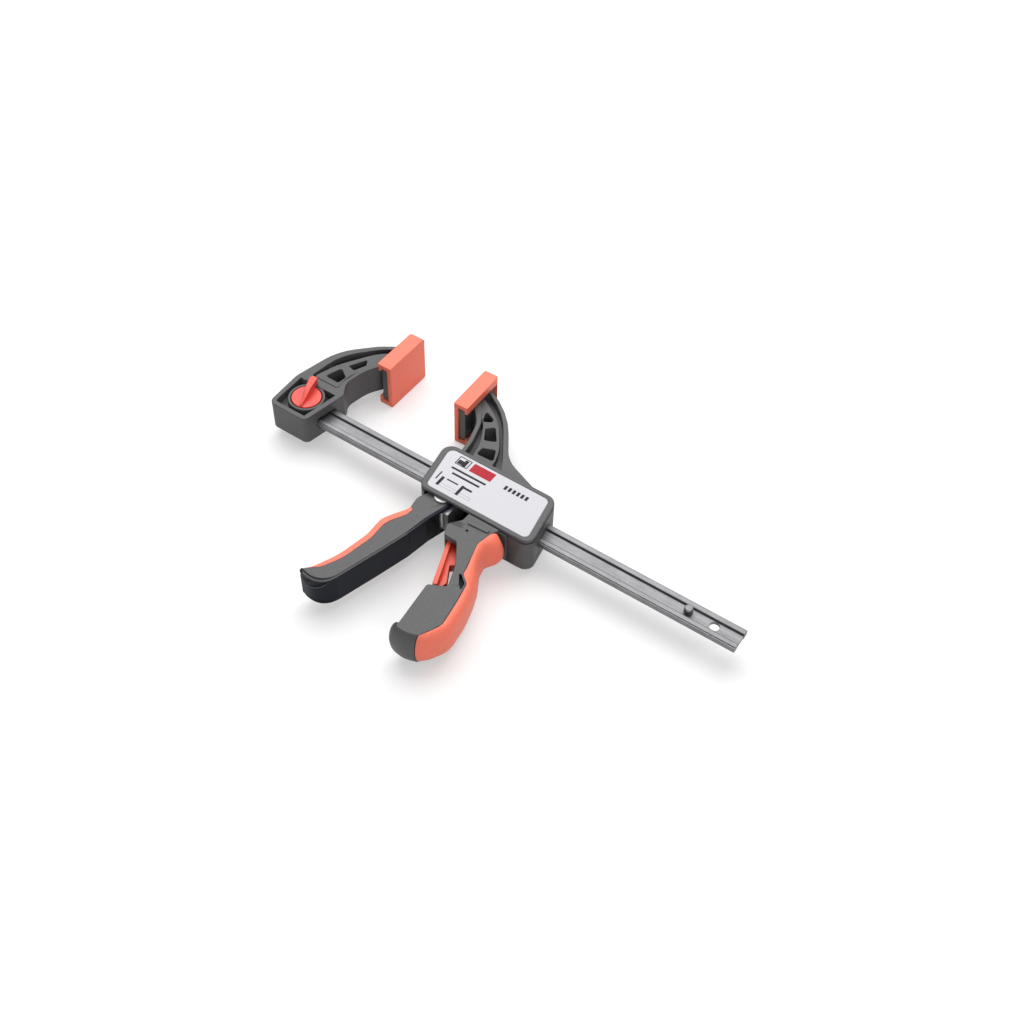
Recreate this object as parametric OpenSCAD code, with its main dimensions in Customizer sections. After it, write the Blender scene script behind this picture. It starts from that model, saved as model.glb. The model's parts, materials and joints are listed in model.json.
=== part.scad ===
// Quick release bar clamp, lying on its side.
// The origin is the middle of the fixed pad's clamping face. +X runs along the bar
// towards its free end, +Y away from the bar, and the handles hang towards -Y.

/* [Bar] */
// Length of the bar
bar_l = 370; // [340:1:420]
// Width of the bar, from edge to edge
bar_w = 17.5; // [16.5:0.1:18.5]
// Thickness of the bar over its flanges
bar_t = 5.2; // [4.8:0.1:5.6]
// Width of each flange beside the groove
flange_w = 4.4; // [4:0.1:4.7]
// Depth of the groove in each face
groove_d = 1.4; // [1:0.1:1.6]
// Run of the groove's sloping wall
groove_slope = 0.8; // [0.4:0.1:0.9]
// Width of the fine step along each edge
step_w = 1; // [0.6:0.1:1.4]
// Depth of that step
step_d = 0.6; // [0.3:0.1:0.8]
// Bar that runs past the knob's axis, inside the fixed jaw
bar_past_knob = 15; // [14:0.5:16]
// Diameter of the stop pin
stop_d = 6; // [5:0.1:6.5]
// Height of the stop pin above the bar's middle plane
stop_h = 6; // [5:0.5:8]
// Distance from the bar's free end to the stop pin
stop_from_end = 38.5; // [30:0.5:45]
// Diameter of the hanging hole
hang_d = 7; // [6:0.1:7.1]
// Distance from the bar's free end to the hanging hole
hang_from_end = 19; // [12:0.5:22]
// Clearance between the bar and what it passes through
bar_fit = 0.12; // [0.08:0.01:0.25]

/* [Jaws and pads] */
// Distance from the bar's middle line to the middle of the pads
reach = 71.5; // [68:0.5:85]
// Distance from the knob's axis to the fixed clamping face
face_x = 37.2; // [36:0.1:42]
// Opening between the pads as drawn
opening = 56.2; // [20:0.1:80]
// Height of a pad, across the jaws
pad_h = 39; // [36:0.5:44]
// Length of a pad, away from the bar
pad_l = 42; // [38:0.5:48]
// Depth of a pad from its face to its hooked lips
pad_d = 11.6; // [11:0.1:13]
// Thickness of the pad's face and flanges
pad_wall = 3.7; // [3:0.1:4]
// Thickness of the pad's hooked lips
lip_t = 2.4; // [1.8:0.1:2.8]
// Clearance of a pad on its jaw plate
pad_fit = 0.15; // [0.1:0.01:0.3]
// Toe-in of the movable pad, in degrees
toe = 1.5; // [0:0.1:2.5]
// Thickness of the jaw arms
arm_t = 24; // [22:0.5:25]
// Width of the arms' rims
rim_w = 4.2; // [3.5:0.1:5]
// Depth of the groove between an arm's rim and its web
groove_deep = 6.5; // [5:0.5:8]
// The web stands this far below the rim
web_drop = 1.5; // [0.8:0.1:2.5]

/* [Fixed jaw head and knob] */
// Left edge of the head, from the knob's axis
head_l = 20; // [19.5:0.1:22]
// Right edge of the head, from the knob's axis
head_r = 17.6; // [16.8:0.1:19]
// Half the width of the head
head_half = 19.5; // [19:0.1:21]
// Slant of the head's right face over its width
head_slant = 6.5; // [4:0.1:7]
// Depth of the pocket round the knob, on both faces
pocket_d = 6.5; // [5:0.1:6.6]
// Wall round the pocket
pocket_wall = 3.8; // [3:0.1:4.2]
// Outer radius of the knob's ring
ring_r = 13.4; // [13:0.1:14]
// Radius of the knob's disc
knob_r = 10.8; // [10:0.1:11]
// Clearance between the knob's disc and its ring
knob_gap = 0.6; // [0.4:0.05:0.9]
// Thickness of the knob's disc
knob_t = 4; // [3:0.1:4.6]
// Height of the knob's finger grip above the disc
fin_h = 6.4; // [5:0.1:8]
// Width of the knob's finger grip
fin_w = 5.8; // [4.6:0.1:6.2]
// Direction of the knob's finger grip, in degrees
fin_angle = 106; // [90:1:120]
// Diameter of the locking spindle
spindle_d = 8; // [7:0.1:8.2]
// Width across the spindle's flats, at the bar
spindle_flats = 4.8; // [4:0.1:5.2]
// Radial clearance of the spindle in its bores
spindle_fit = 0.05; // [0.03:0.01:0.08]

/* [Carriage box] */
// Length of the box along the bar
box_l = 91.8; // [91:0.1:96]
// From the movable clamping face to the box, on the bar's line
box_x = 20.2; // [19.5:0.1:21]
// Half width of the box on the pads' side
box_far = 20.8; // [20.4:0.1:23]
// Half width of the box on the handles' side
box_near = 22.8; // [22.6:0.1:23.4]
// How far the box's ends lean over its width
box_lean = 7.6; // [6:0.1:8.5]
// Height of the box
box_h = 30; // [29.8:0.1:32]
// Thickness of the cover, its rim included
cover_t = 2.4; // [2.2:0.1:2.6]
// Thickness of the floor
floor_t = 2.4; // [2:0.1:2.6]
// Thickness of the side walls
wall = 3; // [2.4:0.1:3.2]
// Radius of the box's corners
box_round = 8; // [6:0.5:9]
// Width of the cover's raised rim along its sides
rim_face = 3.4; // [2.8:0.1:4]
// The rim is wider by this much at the cover's two ends
rim_more = 1.2; // [0:0.1:2]
// Depth of the label's recess
label_d = 0.8; // [0.6:0.1:1]
// Thickness of the label plate
label_t = 0.5; // [0.3:0.1:0.6]
// Joint line between the cover and the box
seam = 0.2; // [0.1:0.05:0.3]
// Diameter of the four housing screws
screw_d = 3; // [2.5:0.1:3.2]

/* [Squeeze lever] */
// Width of the lever across its cheeks
lever_t = 23; // [22:0.1:23.4]
// Thickness of its cheeks and back wall
lever_wall = 2.5; // [2:0.1:2.6]
// Length of the lever from its pivot to its tip
lever_l = 110; // [106:0.5:118]
// Lean of the lever away from the grip at rest, in degrees
lever_lean = 16.4; // [12:0.1:18]
// Radius of its rounded end at the pivot
lever_end_r = 8.4; // [7.6:0.1:8.6]
// Width of the raised bead along its edge
bead_w = 2.2; // [1.6:0.1:2.6]
// Height of that bead
bead_h = 0.4; // [0.2:0.05:0.5]
// Depth of the soft inlay on the finger side, in the middle
inlay_d = 4; // [3.2:0.1:4.6]
// Diameter of the pivot rivet
rivet_d = 6; // [5:0.1:6.5]
// Diameter of the rivet's heads
rivet_head_d = 11; // [8:0.1:12]
// Diameter of the push pin between the cheeks
push_d = 4; // [3.4:0.1:4.2]
// Radial clearance of the lever on its rivet
pivot_fit = 0.05; // [0.03:0.01:0.08]

/* [Plates and springs] */
// Thickness of the drive plate and of the brake plate
plate_t = 4; // [3.5:0.1:4.2]
// Width of both plates, across the bar's thickness
plate_w = 17; // [16:0.1:17.2]
// Tilt of the brake plate while it holds, in degrees
brake_tilt = 5.5; // [4:0.1:5.8]
// Wire of the drive spring
drive_wire = 1.3; // [1:0.05:1.4]
// Turns of the drive spring
drive_turns = 5; // [4:0.5:6]
// Wire of the brake spring
brake_wire = 0.8; // [0.6:0.05:0.9]
// Mean radius of the brake spring
brake_spring_r = 2.3; // [2:0.05:2.4]
// Turns of the brake spring
brake_turns = 7; // [5:0.5:8]

/* [Pistol grip] */
// Thickness of the grip
grip_t = 27.6; // [26.6:0.1:28.4]
// Length of the grip below the bar's middle line
grip_l = 129; // [126:0.5:136]
// Thickness of the soft overmould on the grip's back
mould_t = 6.7; // [5.6:0.1:7.4]
// Reach of the thumb rest at the top of the overmould
thumb_reach = 9.8; // [7:0.1:11]
// The bumper at the grip's tip stands this proud of its faces
bumper_proud = 0.6; // [0.3:0.1:0.9]
// Width of the release lever's finger face
trigger_w = 15; // [12:0.1:16]
// Width of the release lever's web
trigger_web = 7; // [5:0.1:7.4]
// Diameter of the release lever's pin
trigger_pin_d = 4; // [3.4:0.1:4.2]

/* [Hidden] */
$fn = 48;

plastic = [0.33, 0.33, 0.34];
orange = [0.93, 0.36, 0.27];
steel = [0.55, 0.56, 0.58];
zinc = [0.78, 0.78, 0.78];
pale = [0.88, 0.88, 0.90];

big = 400;       // longer than any cut has to be
eps = 0.01;      // overshoot of a cut past a face
hair = 0.02;     // gap left between faces of neighbouring pieces

bar_x0 = -bar_past_knob;
bar_x1 = bar_x0 + bar_l;
web_half = bar_t/2 - groove_d;
slot_w = bar_w + 2*bar_fit;
slot_t = bar_t + 2*bar_fit;

pad_y0 = reach - pad_l/2;
pad_y1 = reach + pad_l/2;
plate_half = pad_h/2 - pad_wall - pad_fit;
jaw_plate_t = pad_d - pad_wall - lip_t - 2*pad_fit;
carriage_x = face_x + opening;

box_top = box_h/2;
cover_z = box_top - cover_t;
body_top = cover_z - seam;
floor_z = -box_top + floor_t;

pivot = [42.1, -20];
push_at = pivot + [5, -7.2];
lug_r = 6;
cheek_in = lever_t/2 - lever_wall;
lug_half = cheek_in - 0.2;
drive_x = push_at[0] + push_d/2 + 0.2;
plate_top = 16.2;
drive_bottom = push_at[1] - push_d/2;
partition_x = drive_x + plate_t + 14.5;
partition_t = 3;
fulcrum = [81.6, -13];
fulcrum_nose = 1;
tail_y = -28;
release_at = [74.1, -35.7];
nose_r = 2;
nose_y = -26;
screw_at = [
    [box_x + 6.8, 14.4], [box_x + box_l - 9, 14.4], [75.5, -18.6], [box_x + box_l - 17.5, -18.6]
];
post_r = screw_d/2 + 0.8;
spring_y = 14;
spring_seat = 97;
neck_x0 = 66.8;
neck_x1 = 97.4;
neck_y = fulcrum[1] - fulcrum_nose - 0.4;
neck_half = 12.2;
cavity_half = plate_w/2 + 0.5;

// ---- outlines: corners as [x, y, radius], turned into arcs ----
function unit(v) = v/norm(v);
function wrap(c, i) = c[(i + len(c)) % len(c)];
function xy(c) = [c[0], c[1]];
function turn(a, b) = atan2(a[0]*b[1] - a[1]*b[0], a*b);

// Points of one rounded corner
function corner(p, c, n, r) =
    let (a = unit(xy(c) - xy(p)), b = unit(xy(n) - xy(c)), t = turn(a, b))
    (r <= 0 || abs(t) < 0.5) ? [xy(c)] :
    let (side = sign(t), cut = r*tan(abs(t)/2), m = max(2, ceil(abs(t)/9)),
         start = xy(c) - a*cut, mid = start + side*r*[-a[1], a[0]], away = start - mid)
    [for (k = [0:m]) let (w = t*k/m)
        mid + [away[0]*cos(w) - away[1]*sin(w), away[0]*sin(w) + away[1]*cos(w)]];

// Outline of a list of corners
function outline(c) = [for (i = [0:len(c) - 1])
    each corner(wrap(c, i - 1), c[i], wrap(c, i + 1), c[i][2])];

// The same corners moved inwards by d, for corners that run anticlockwise
function inset(c, d) = [for (i = [0:len(c) - 1])
    let (a = unit(xy(c[i]) - xy(wrap(c, i - 1))), b = unit(xy(wrap(c, i + 1)) - xy(c[i])),
         na = [-a[1], a[0]], nb = [-b[1], b[0]], s = turn(a, b) >= 0 ? 1 : -1,
         p = xy(c[i]) + d*(na + nb)/(1 + na*nb))
    [p[0], p[1], max(0, c[i][2] - s*d)]];

module plan(c) { polygon(outline(c)); }

module slab(c, z0, z1) {
    translate([0, 0, z0]) linear_extrude(z1 - z0) plan(c);
}

module block(x0, x1, y0, y1, z0, z1) {
    translate([x0, y0, z0]) cube([x1 - x0, y1 - y0, z1 - z0]);
}

module rod(at, r, z0, z1) {
    translate([at[0], at[1], z0]) cylinder(r = r, h = z1 - z0);
}

// From the knob's axis on the bar's middle line to the part's origin
module on_bar() { translate([-face_x, -reach, 0]) children(); }

// From the movable clamping face on the bar's middle line to the part's origin
module on_carriage() { on_bar() translate([carriage_x, 0, 0]) children(); }

// Tube along a helix round +X, from x = 0 to x = long, as one closed mesh
module coil(r, wire, long, turns, sides = 6, steps = 8) {
    n = turns*steps;
    m = sides;
    climb = (long - wire)/n;
    points = [for (i = [0:n]) let (a = 360*i/steps)
        for (k = [0:m - 1]) let (b = 360*k/m, q = r + wire/2*cos(b))
            [wire/2 + i*climb + wire/2*sin(b), q*cos(a), q*sin(a)]];
    walls = [for (i = [0:n - 1]) for (k = [0:m - 1])
        let (p = i*m + k, q = i*m + (k + 1) % m) each [[p, q, q + m], [p, q + m, p + m]]];
    caps = [for (k = [1:m - 2]) each [[0, k + 1, k], [n*m, n*m + k, n*m + k + 1]]];
    polyhedron(points, concat(walls, caps), convexity = 6);
}

// Least gap between a coil's turns, measured between points of its middle line
function self_gap(r, wire, long, turns, steps = 8) =
    let (n = turns*steps, climb = (long - wire)/n,
         line = [for (i = [0:n]) [i*climb, r*cos(360*i/steps), r*sin(360*i/steps)]])
    min([for (i = [0:n - steps]) for (j = [i + steps - 2:min(n, i + steps + 2)])
        norm(line[i] - line[j]) - wire]);

// ---- bar ----
bar_half = [
    [flange_w + groove_slope - bar_w/2, web_half], [flange_w - bar_w/2, bar_t/2],
    [step_w - bar_w/2, bar_t/2], [step_w - bar_w/2, bar_t/2 - step_d], [-bar_w/2, bar_t/2 - step_d]
];
function upside(p) = [for (i = [len(p) - 1:-1:0]) [p[i][0], -p[i][1]]];
function across(p) = [for (i = [len(p) - 1:-1:0]) [-p[i][0], p[i][1]]];

module bar_section() {
    near = concat(bar_half, upside(bar_half));
    polygon(concat(near, across(near)));
}

module bar() {
    color(steel) on_bar() difference() {
        translate([bar_x0, 0, 0]) rotate([90, 0, 90]) linear_extrude(bar_l) bar_section();
        rod([0, 0], spindle_d/2 + spindle_fit, -bar_t, bar_t);
        block(bar_x0 - 1, 0, -spindle_flats/2 - 0.15, spindle_flats/2 + 0.15, -bar_t, bar_t);
        rod([bar_x1 - stop_from_end, 0], stop_d/2, -bar_t, bar_t);
        rod([bar_x1 - hang_from_end, 0], hang_d/2, -bar_t, bar_t);
    }
}

// Steel pin pressed through the bar, so that the carriage can't run off its end
module stop_pin() {
    chamfer = 0.6;
    color(steel) on_bar() translate([bar_x1 - stop_from_end, 0, 0]) rotate_extrude() polygon([
        [0, -stop_h], [stop_d/2 - chamfer, -stop_h], [stop_d/2, chamfer - stop_h],
        [stop_d/2, stop_h - chamfer], [stop_d/2 - chamfer, stop_h], [0, stop_h]]);
}

// ---- pads and the plates that carry them ----
// Plate that a pad slides onto; its front is at x = 0 and it reaches towards +X
module jaw_plate() {
    block(pad_wall + pad_fit, pad_wall + pad_fit + jaw_plate_t, pad_y0 + 1.2,
        pad_y1 - pad_wall + 1 - pad_fit, -plate_half, plate_half);
}

// Soft channel with its clamping face at x = 0 and its open end towards the bar
module pad_shape() {
    difference() {
        intersection() {
            translate([0, 0, -pad_h]) linear_extrude(2*pad_h) polygon(outline([
                [0, pad_y0, 0.8], [pad_d, pad_y0, 0.8], [pad_d, pad_y1, 4], [0, pad_y1, 1.5]]));
            translate([-1, 0, 0]) rotate([90, 0, 90]) linear_extrude(pad_d + 2) polygon(outline([
                [pad_y0 - 5, -pad_h/2, 0], [pad_y1 + 0.05, -pad_h/2, 4],
                [pad_y1 + 0.05, pad_h/2, 4], [pad_y0 - 5, pad_h/2, 0]]));
        }
        block(pad_wall, pad_wall + jaw_plate_t + 2*pad_fit, pad_y0 - 1,
            pad_y1 - pad_wall + 1, -plate_half - pad_fit, plate_half + pad_fit);
        block(pad_wall, pad_d + 1, pad_y0 - 1, pad_y1 - pad_wall + 1,
            -arm_t/2 - 0.8, arm_t/2 + 0.8);
    }
}

module fixed_pad() {
    color(orange) on_bar() translate([face_x, 0, 0]) mirror([1, 0, 0]) pad_shape();
}

module toed() { translate([0, reach, 0]) rotate([0, 0, toe]) translate([0, -reach, 0]) children(); }

module movable_pad() { color(orange) on_carriage() toed() pad_shape(); }

// ---- fixed jaw ----
plate_back = face_x - pad_wall - pad_fit - jaw_plate_t;

// Height above the bar's line as a share of the way to the pad's near end
function rise(s) = head_half - 3 + s*(pad_y0 - head_half + 3);

head_corners = [
    [-head_l + 1.6, -head_half, 5], [head_r - head_slant/2, -head_half, 4.5],
    [head_r + head_slant/2, head_half - 3, 3.5], [-head_l, head_half - 3, 0]
];
fixed_corners = [
    [-head_l + 1.6, -head_half, 5], [head_r - head_slant/2, -head_half, 4.5],
    [head_r + head_slant/2, head_half - 3, 2.5], [14.4, rise(0.32), 12],
    [18.2, rise(0.88), 30], [plate_back + 0.6, pad_y0 + 12, 3],
    [plate_back + 0.6, pad_y1 - 7.5, 3], [9.9, rise(1.63), 40], [-11.6, rise(0.98), 46],
    [-head_l + 0.2, head_half - 7, 18]
];
// Where the arm's faces are sunk inside its rim; it runs on under the pad
arm_corners = [
    [-head_l + 4.4, head_half - 4.4, 6], [head_r + head_slant/2 - 2.6, head_half - 4.4, 6],
    [15.7, rise(0.3), 12], [19.2, rise(0.88), 30], [plate_back + 8, pad_y0 + 19.6, 1],
    [plate_back + 8, pad_y1 - 1, 1], [9.9, rise(1.65), 40], [-10.8, rise(0.96), 46]
];
// The web with its windows, which stands up again inside the groove
web_corners = [
    [-10.2, rise(0.12), 1.5], [11.8, rise(0.12), 1.5], [10.4, rise(0.4), 20], [12.8, rise(0.78), 30],
    [plate_back + 3, rise(1.44), 1], [plate_back + 3, rise(1.87), 1],
    [12.6, rise(1.46), 40], [-4.2, rise(0.66), 46]
];
fixed_windows = [
    [[-3.4, rise(0.27), 1.5], [8.4, rise(0.26), 1.5], [9.4, rise(0.48), 1.5], [1.2, rise(0.64), 1.5]],
    [[3.8, rise(0.79), 1], [9.8, rise(0.74), 1.5], [14, rise(1.02), 1.5], [11.1, rise(1.18), 1]]
];

module windows(list, deep) {
    for (w = list) slab(w, -deep, deep);
}

// Groove in both faces of an arm, round a web that stands nearly as high as the rim
module arm_groove(rim, web) {
    for (side = [0, 1]) mirror([0, 0, side]) difference() {
        slab(inset(rim, rim_w), arm_t/2 - groove_deep, arm_t/2 + 1);
        slab(web, 0, arm_t/2 - web_drop);
    }
}

module fixed_jaw() {
    pocket = inset(head_corners, pocket_wall);
    color(plastic) on_bar() difference() {
        union() {
            difference() {
                slab(fixed_corners, -arm_t/2, arm_t/2);
                arm_groove(arm_corners, web_corners);
                windows(fixed_windows, arm_t);
                for (side = [0, 1]) mirror([0, 0, side])
                    slab(pocket, arm_t/2 - pocket_d, arm_t/2 + 1);
            }
            rod([0, 0], ring_r, arm_t/2 - pocket_d - eps, arm_t/2 - 0.6);
            rod([0, 0], ring_r, 0.6 - arm_t/2, pocket_d - arm_t/2 + eps);
            translate([face_x, 0, 0]) mirror([1, 0, 0]) jaw_plate();
        }
        block(bar_x0 - bar_fit, big, -slot_w/2, slot_w/2, -slot_t/2, slot_t/2);
        rod([0, 0], spindle_d/2 + spindle_fit, -arm_t, arm_t);
        rod([0, 0], knob_r + knob_gap, arm_t/2 - pocket_d, arm_t);
        rod([0, 0], knob_r + knob_gap, -arm_t, pocket_d - arm_t/2);
        // Mouth above and below the bar in the slanted face
        for (side = [0, 1]) mirror([0, 0, side])
            block(ring_r + 0.6, big, 2 - head_half/2, head_half/2 - 1, slot_t/2 - eps, slot_t/2 + 2.2);
    }
}

// ---- knob and what it turns ----
disc_top = arm_t/2 - 0.4;
clip_z = pocket_d - arm_t/2 - 1.3;

module knob() {
    tip = knob_r + 4.6;
    color(orange) on_bar() difference() {
        union() {
            rod([0, 0], knob_r, disc_top - knob_t, disc_top);
            rotate([0, 0, fin_angle]) intersection() {
                translate([0, fin_w/2, disc_top - eps]) rotate([90, 0, 0]) linear_extrude(fin_w)
                    polygon([[0.4 - knob_r, 0], [knob_r - 0.2, 0], [knob_r - 0.2, 1],
                        [tip, 1], [tip, fin_h], [3, fin_h - 0.6], [-5, 2.6], [0.4 - knob_r, 1]]);
                linear_extrude(arm_t) polygon(outline([[-knob_r, -0.8, 0], [0, -fin_w/2 + 1, 0],
                    [tip, -fin_w/2, 1.6], [tip, fin_w/2, 1.6], [0, fin_w/2 - 1, 0], [-knob_r, 0.8, 0]]));
            }
        }
        rod([0, 0], spindle_d/2 - 1, 0, disc_top - 1.2);
    }
}

// Steel spindle with two flats where it crosses the bar's slot
module lock_spindle() {
    flat_z = slot_t/2 + 0.3;
    color(zinc) on_bar() difference() {
        union() {
            rod([0, 0], spindle_d/2, clip_z - 1.5, disc_top - knob_t - hair);
            rod([0, 0], spindle_d/2 - 1 - hair, disc_top - knob_t - hair, disc_top - 1.2 - hair);
        }
        for (s = [-1, 1]) translate([s*(spindle_flats/2 + spindle_d/2), 0, 0])
            cube([spindle_d, 2*spindle_d, 2*flat_z], center = true);
        translate([0, 0, clip_z]) difference() {
            cylinder(r = spindle_d, h = 1.2);
            cylinder(r = spindle_d/2 - 0.8, h = 1.2);
        }
    }
}

// Snap ring that holds the spindle in from below
module spindle_ring() {
    color(zinc) on_bar() translate([0, 0, clip_z + 0.1]) difference() {
        cylinder(r = spindle_d/2 + 2, h = 1);
        translate([0, 0, -1]) cylinder(r = spindle_d/2 - 0.8 + hair, h = 3);
        translate([0, -1, -1]) cube([spindle_d, 2, 3]);
    }
}

// Steel washer between the knob's disc and the jaw
module knob_washer() {
    color(zinc) on_bar() difference() {
        rod([0, 0], spindle_d/2 + 3, arm_t/2 - pocket_d, disc_top - knob_t - 0.1);
        rod([0, 0], spindle_d/2 + 0.2, 0, arm_t);
    }
}

// ---- carriage: jaw arm and mechanism box in one moulding ----
function lean(y) = -box_lean*y/(box_far + box_near);
box_corners = [
    [box_x + lean(-box_near), -box_near, box_round - 1],
    [box_x + box_l + lean(-box_near), -box_near, box_round - 1],
    [box_x + box_l + lean(box_far), box_far, box_round],
    [box_x + lean(box_far), box_far, box_round]
];

// Height above the box as a share of the way to the pad's near end
function climb(s) = box_far + s*(pad_y0 - box_far);

arm_end = pad_d - lip_t - 0.4;
jaw_corners = [
    [28.4, box_far - wall, 0], [100, box_far - wall, 0], [86, climb(0.08), 30],
    [59.7, climb(0.42), 28], [33.5, climb(1.73), 80], [arm_end, pad_y1 - 8.9, 1],
    [arm_end, pad_y0 + 12.5, 1], [20.8, climb(1.03), 24], [26.2, climb(0.42), 30]
];
jaw_rim_corners = [
    [27.2, box_far - wall, 0], [68, box_far - wall, 0], [59.6, climb(0.43), 28],
    [34.2, climb(1.73), 76], [arm_end - 8, pad_y1 - 3, 1], [arm_end - 8, pad_y0 + 23.5, 1],
    [19.8, climb(1.02), 24], [25, climb(0.42), 26]
];
jaw_web_corners = [
    [36.8, box_far - wall, 1], [54.4, box_far - wall, 1], [50.2, climb(0.53), 40],
    [32.6, climb(1.37), 50], [10, pad_y1 - 18, 1], [arm_end - 3, pad_y1 - 16, 0],
    [arm_end - 3, pad_y0 + 22, 0], [25.6, climb(1.03), 24], [34, climb(0.5), 40]
];
jaw_windows = [
    [[19.2, climb(1.47), 1.2], [22.8, climb(1.13), 1.2], [28.8, climb(1.25), 1.4], [28, climb(1.34), 1.2]],
    [[28.6, climb(0.98), 1], [34.2, climb(0.66), 1.5], [42.8, climb(0.77), 1.5], [33.8, climb(1.15), 1.5]],
    [[37.6, climb(0.20), 1.5], [51, climb(0.22), 1.5], [46.4, climb(0.55), 1.5], [37.6, climb(0.42), 1.5]]
];
grip_opening = [[box_x + 6.6, -big/4], [neck_x1 + hair, -big/4], [neck_x1 + hair, -12], [box_x + 9, -12]];

module bar_guide(x0, x1, half) {
    block(x0, x1, -half, half, floor_z - 0.5, body_top);
}

module carriage_body() {
    guide_half = slot_w/2 + 2;
    rib_x = fulcrum[0] - 0.15 - fulcrum_nose;
    color(plastic) on_carriage() difference() {
        union() {
            // Arm and the plate for the pad
            difference() {
                slab(jaw_corners, -arm_t/2, arm_t/2);
                arm_groove(jaw_rim_corners, jaw_web_corners);
                windows(jaw_windows, arm_t);
                slab(inset(box_corners, wall/2), -big, big);
            }
            toed() jaw_plate();
            // Box with its floor and walls, open at the side of the handles
            difference() {
                union() {
                    slab(box_corners, -box_top, body_top - 1);
                    slab(inset(box_corners, 0.8), body_top - 2, body_top);
                }
                slab(inset(box_corners, wall), floor_z, box_top);
                translate([0, 0, floor_z]) linear_extrude(big) polygon(grip_opening);
            }
            // Blocks that guide the bar, and the wall that the drive spring rests on
            intersection() {
                slab(inset(box_corners, wall/2), -box_top, body_top);
                union() {
                    bar_guide(0, pivot[0] + 6.5, guide_half);
                    bar_guide(box_x + box_l - 13, 200, guide_half);
                    block(partition_x, partition_x + partition_t, -guide_half - 1, box_far,
                        floor_z - 0.5, body_top);
                    block(spring_seat, spring_seat + 2.4, guide_half - 1, box_far, floor_z - 0.5, 6);
                }
            }
            // Rib that the brake plate leans on
            block(partition_x, rib_x, fulcrum[1] - fulcrum_nose + 0.2, fulcrum[1] + fulcrum_nose - 0.2,
                floor_z - 0.5, body_top - 0.3);
            rod([rib_x, fulcrum[1]], fulcrum_nose, floor_z - 0.5, body_top - 0.3);
            // Lug between the lever's cheeks
            rod(pivot, lug_r, -lug_half, lug_half);
            block(pivot[0] - lug_r + 1, pivot[0] + lug_r - 1, pivot[1], 1 - guide_half,
                -lug_half, lug_half);
            for (p = [screw_at[0], screw_at[1]]) rod(p, post_r, floor_z - 0.5, -hair);
        }
        // Bar's way through
        block(-200, 200, -slot_w/2, slot_w/2, -slot_t/2, slot_t/2);
        rod(pivot, rivet_d/2, -arm_t, arm_t);
        for (p = screw_at) {
            rod(p, screw_d/2 + 0.1, -40, 1);
            rod(p, screw_d + 0.2, -40, -box_top + 1.4);
        }
    }
}

// The label's recess, moved inwards by d
function label_corners(d) = let (c = inset(box_corners, rim_face + d))
    [for (i = [0:3]) [c[i][0] + (i % 3 == 0 ? rim_more : -rim_more), c[i][1], c[i][2]]];

// Cover with a raised rim round the label's recess
module housing_cover() {
    color(plastic) on_carriage() difference() {
        union() {
            slab(box_corners, cover_z, box_top);
            for (p = screw_at) rod(p, post_r - 0.1, 0.1, cover_z + eps);
        }
        slab(label_corners(0), box_top - label_d, box_top + 1);
        for (p = screw_at) rod(p, screw_d/2, -1, cover_z - 1);
    }
}

// Pale label plate, bare but for what stands in for printing
module label_plate() {
    color(pale) on_carriage() slab(label_corners(0.1),
        box_top - label_d + hair/2, box_top - label_d + label_t);
}

module housing_screws() {
    color(zinc) on_carriage() for (p = screw_at) {
        difference() {
            rod(p, screw_d, -box_top + 0.2, -box_top + 1.4 - hair);
            translate([p[0], p[1], -box_top - 0.5]) cylinder(r = 1.1, h = 1.5, $fn = 6);
        }
        rod(p, screw_d/2 - hair, -box_top + 1.4 - hair - eps, cover_z - 1.5);
    }
}

// ---- squeeze lever ----
// A point of the lever: along it from its pivot, and across it towards the grip
lever_axis = [-sin(lever_lean), -cos(lever_lean)];
function at_lever(along, over) = pivot + lever_axis*along + [-lever_axis[1], lever_axis[0]]*over;
function lv(along, over, r) = let (v = at_lever(along, over)) [v[0], v[1], r];

tip_a = lever_l;
push_top = lever_t/2 - bead_h - 0.6;
lever_corners = [
    lv(-lever_end_r, -lever_end_r, lever_end_r - 0.1), lv(13, -10.4, 8), lv(23, -5.6, 9),
    lv(43, -10.4, 11), lv(58, -4.8, 28), lv(tip_a - 27, -2.2, 50), lv(tip_a - 7.5, -4.5, 20),
    lv(tip_a + 0.4, -8.7, 1.5),
    lv(tip_a - 1.2, 13.4, 17), lv(64, 13, 80), lv(38, 12.3, 30), lv(20, 9.9, 30),
    lv(-lever_end_r, 9.4, lever_end_r - 0.1)
];
inlay_corners = [
    lv(21, -40, 0), lv(tip_a - 5.6, -40, 0), lv(tip_a - 5.6, -5.6, 0.6),
    lv(tip_a - 12, inlay_d - 5, 12), lv(tip_a - 27, inlay_d - 2.4, 30), lv(58, inlay_d - 4.6, 26),
    lv(44.6, inlay_d - 9.2, 12), lv(38.6, inlay_d - 9, 12), lv(28, inlay_d - 6.4, 6),
    lv(22.4, inlay_d - 7.2, 1.5), lv(21, -7.4, 0)
];
channel_corners = [
    lv(-30, -40, 0), lv(3, -40, 0), lv(3, -7.4, 2), lv(20, inlay_d - 10, 4), lv(27, inlay_d - 3.8, 5),
    lv(38.6, inlay_d - 6.4, 10), lv(44.6, inlay_d - 6.6, 10), lv(58, inlay_d - 2, 22),
    lv(tip_a - 27, inlay_d + 0.2, 30), lv(tip_a - 12, inlay_d - 2.4, 10), lv(tip_a - 6.5, 0.6, 2),
    lv(tip_a - 6.5, 10, 5), lv(64, 13 - lever_wall, 60), lv(38, 12.3 - lever_wall, 26),
    lv(21, 10 - lever_wall, 4), lv(18, 40, 0), lv(-30, 40, 0)
];
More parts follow.
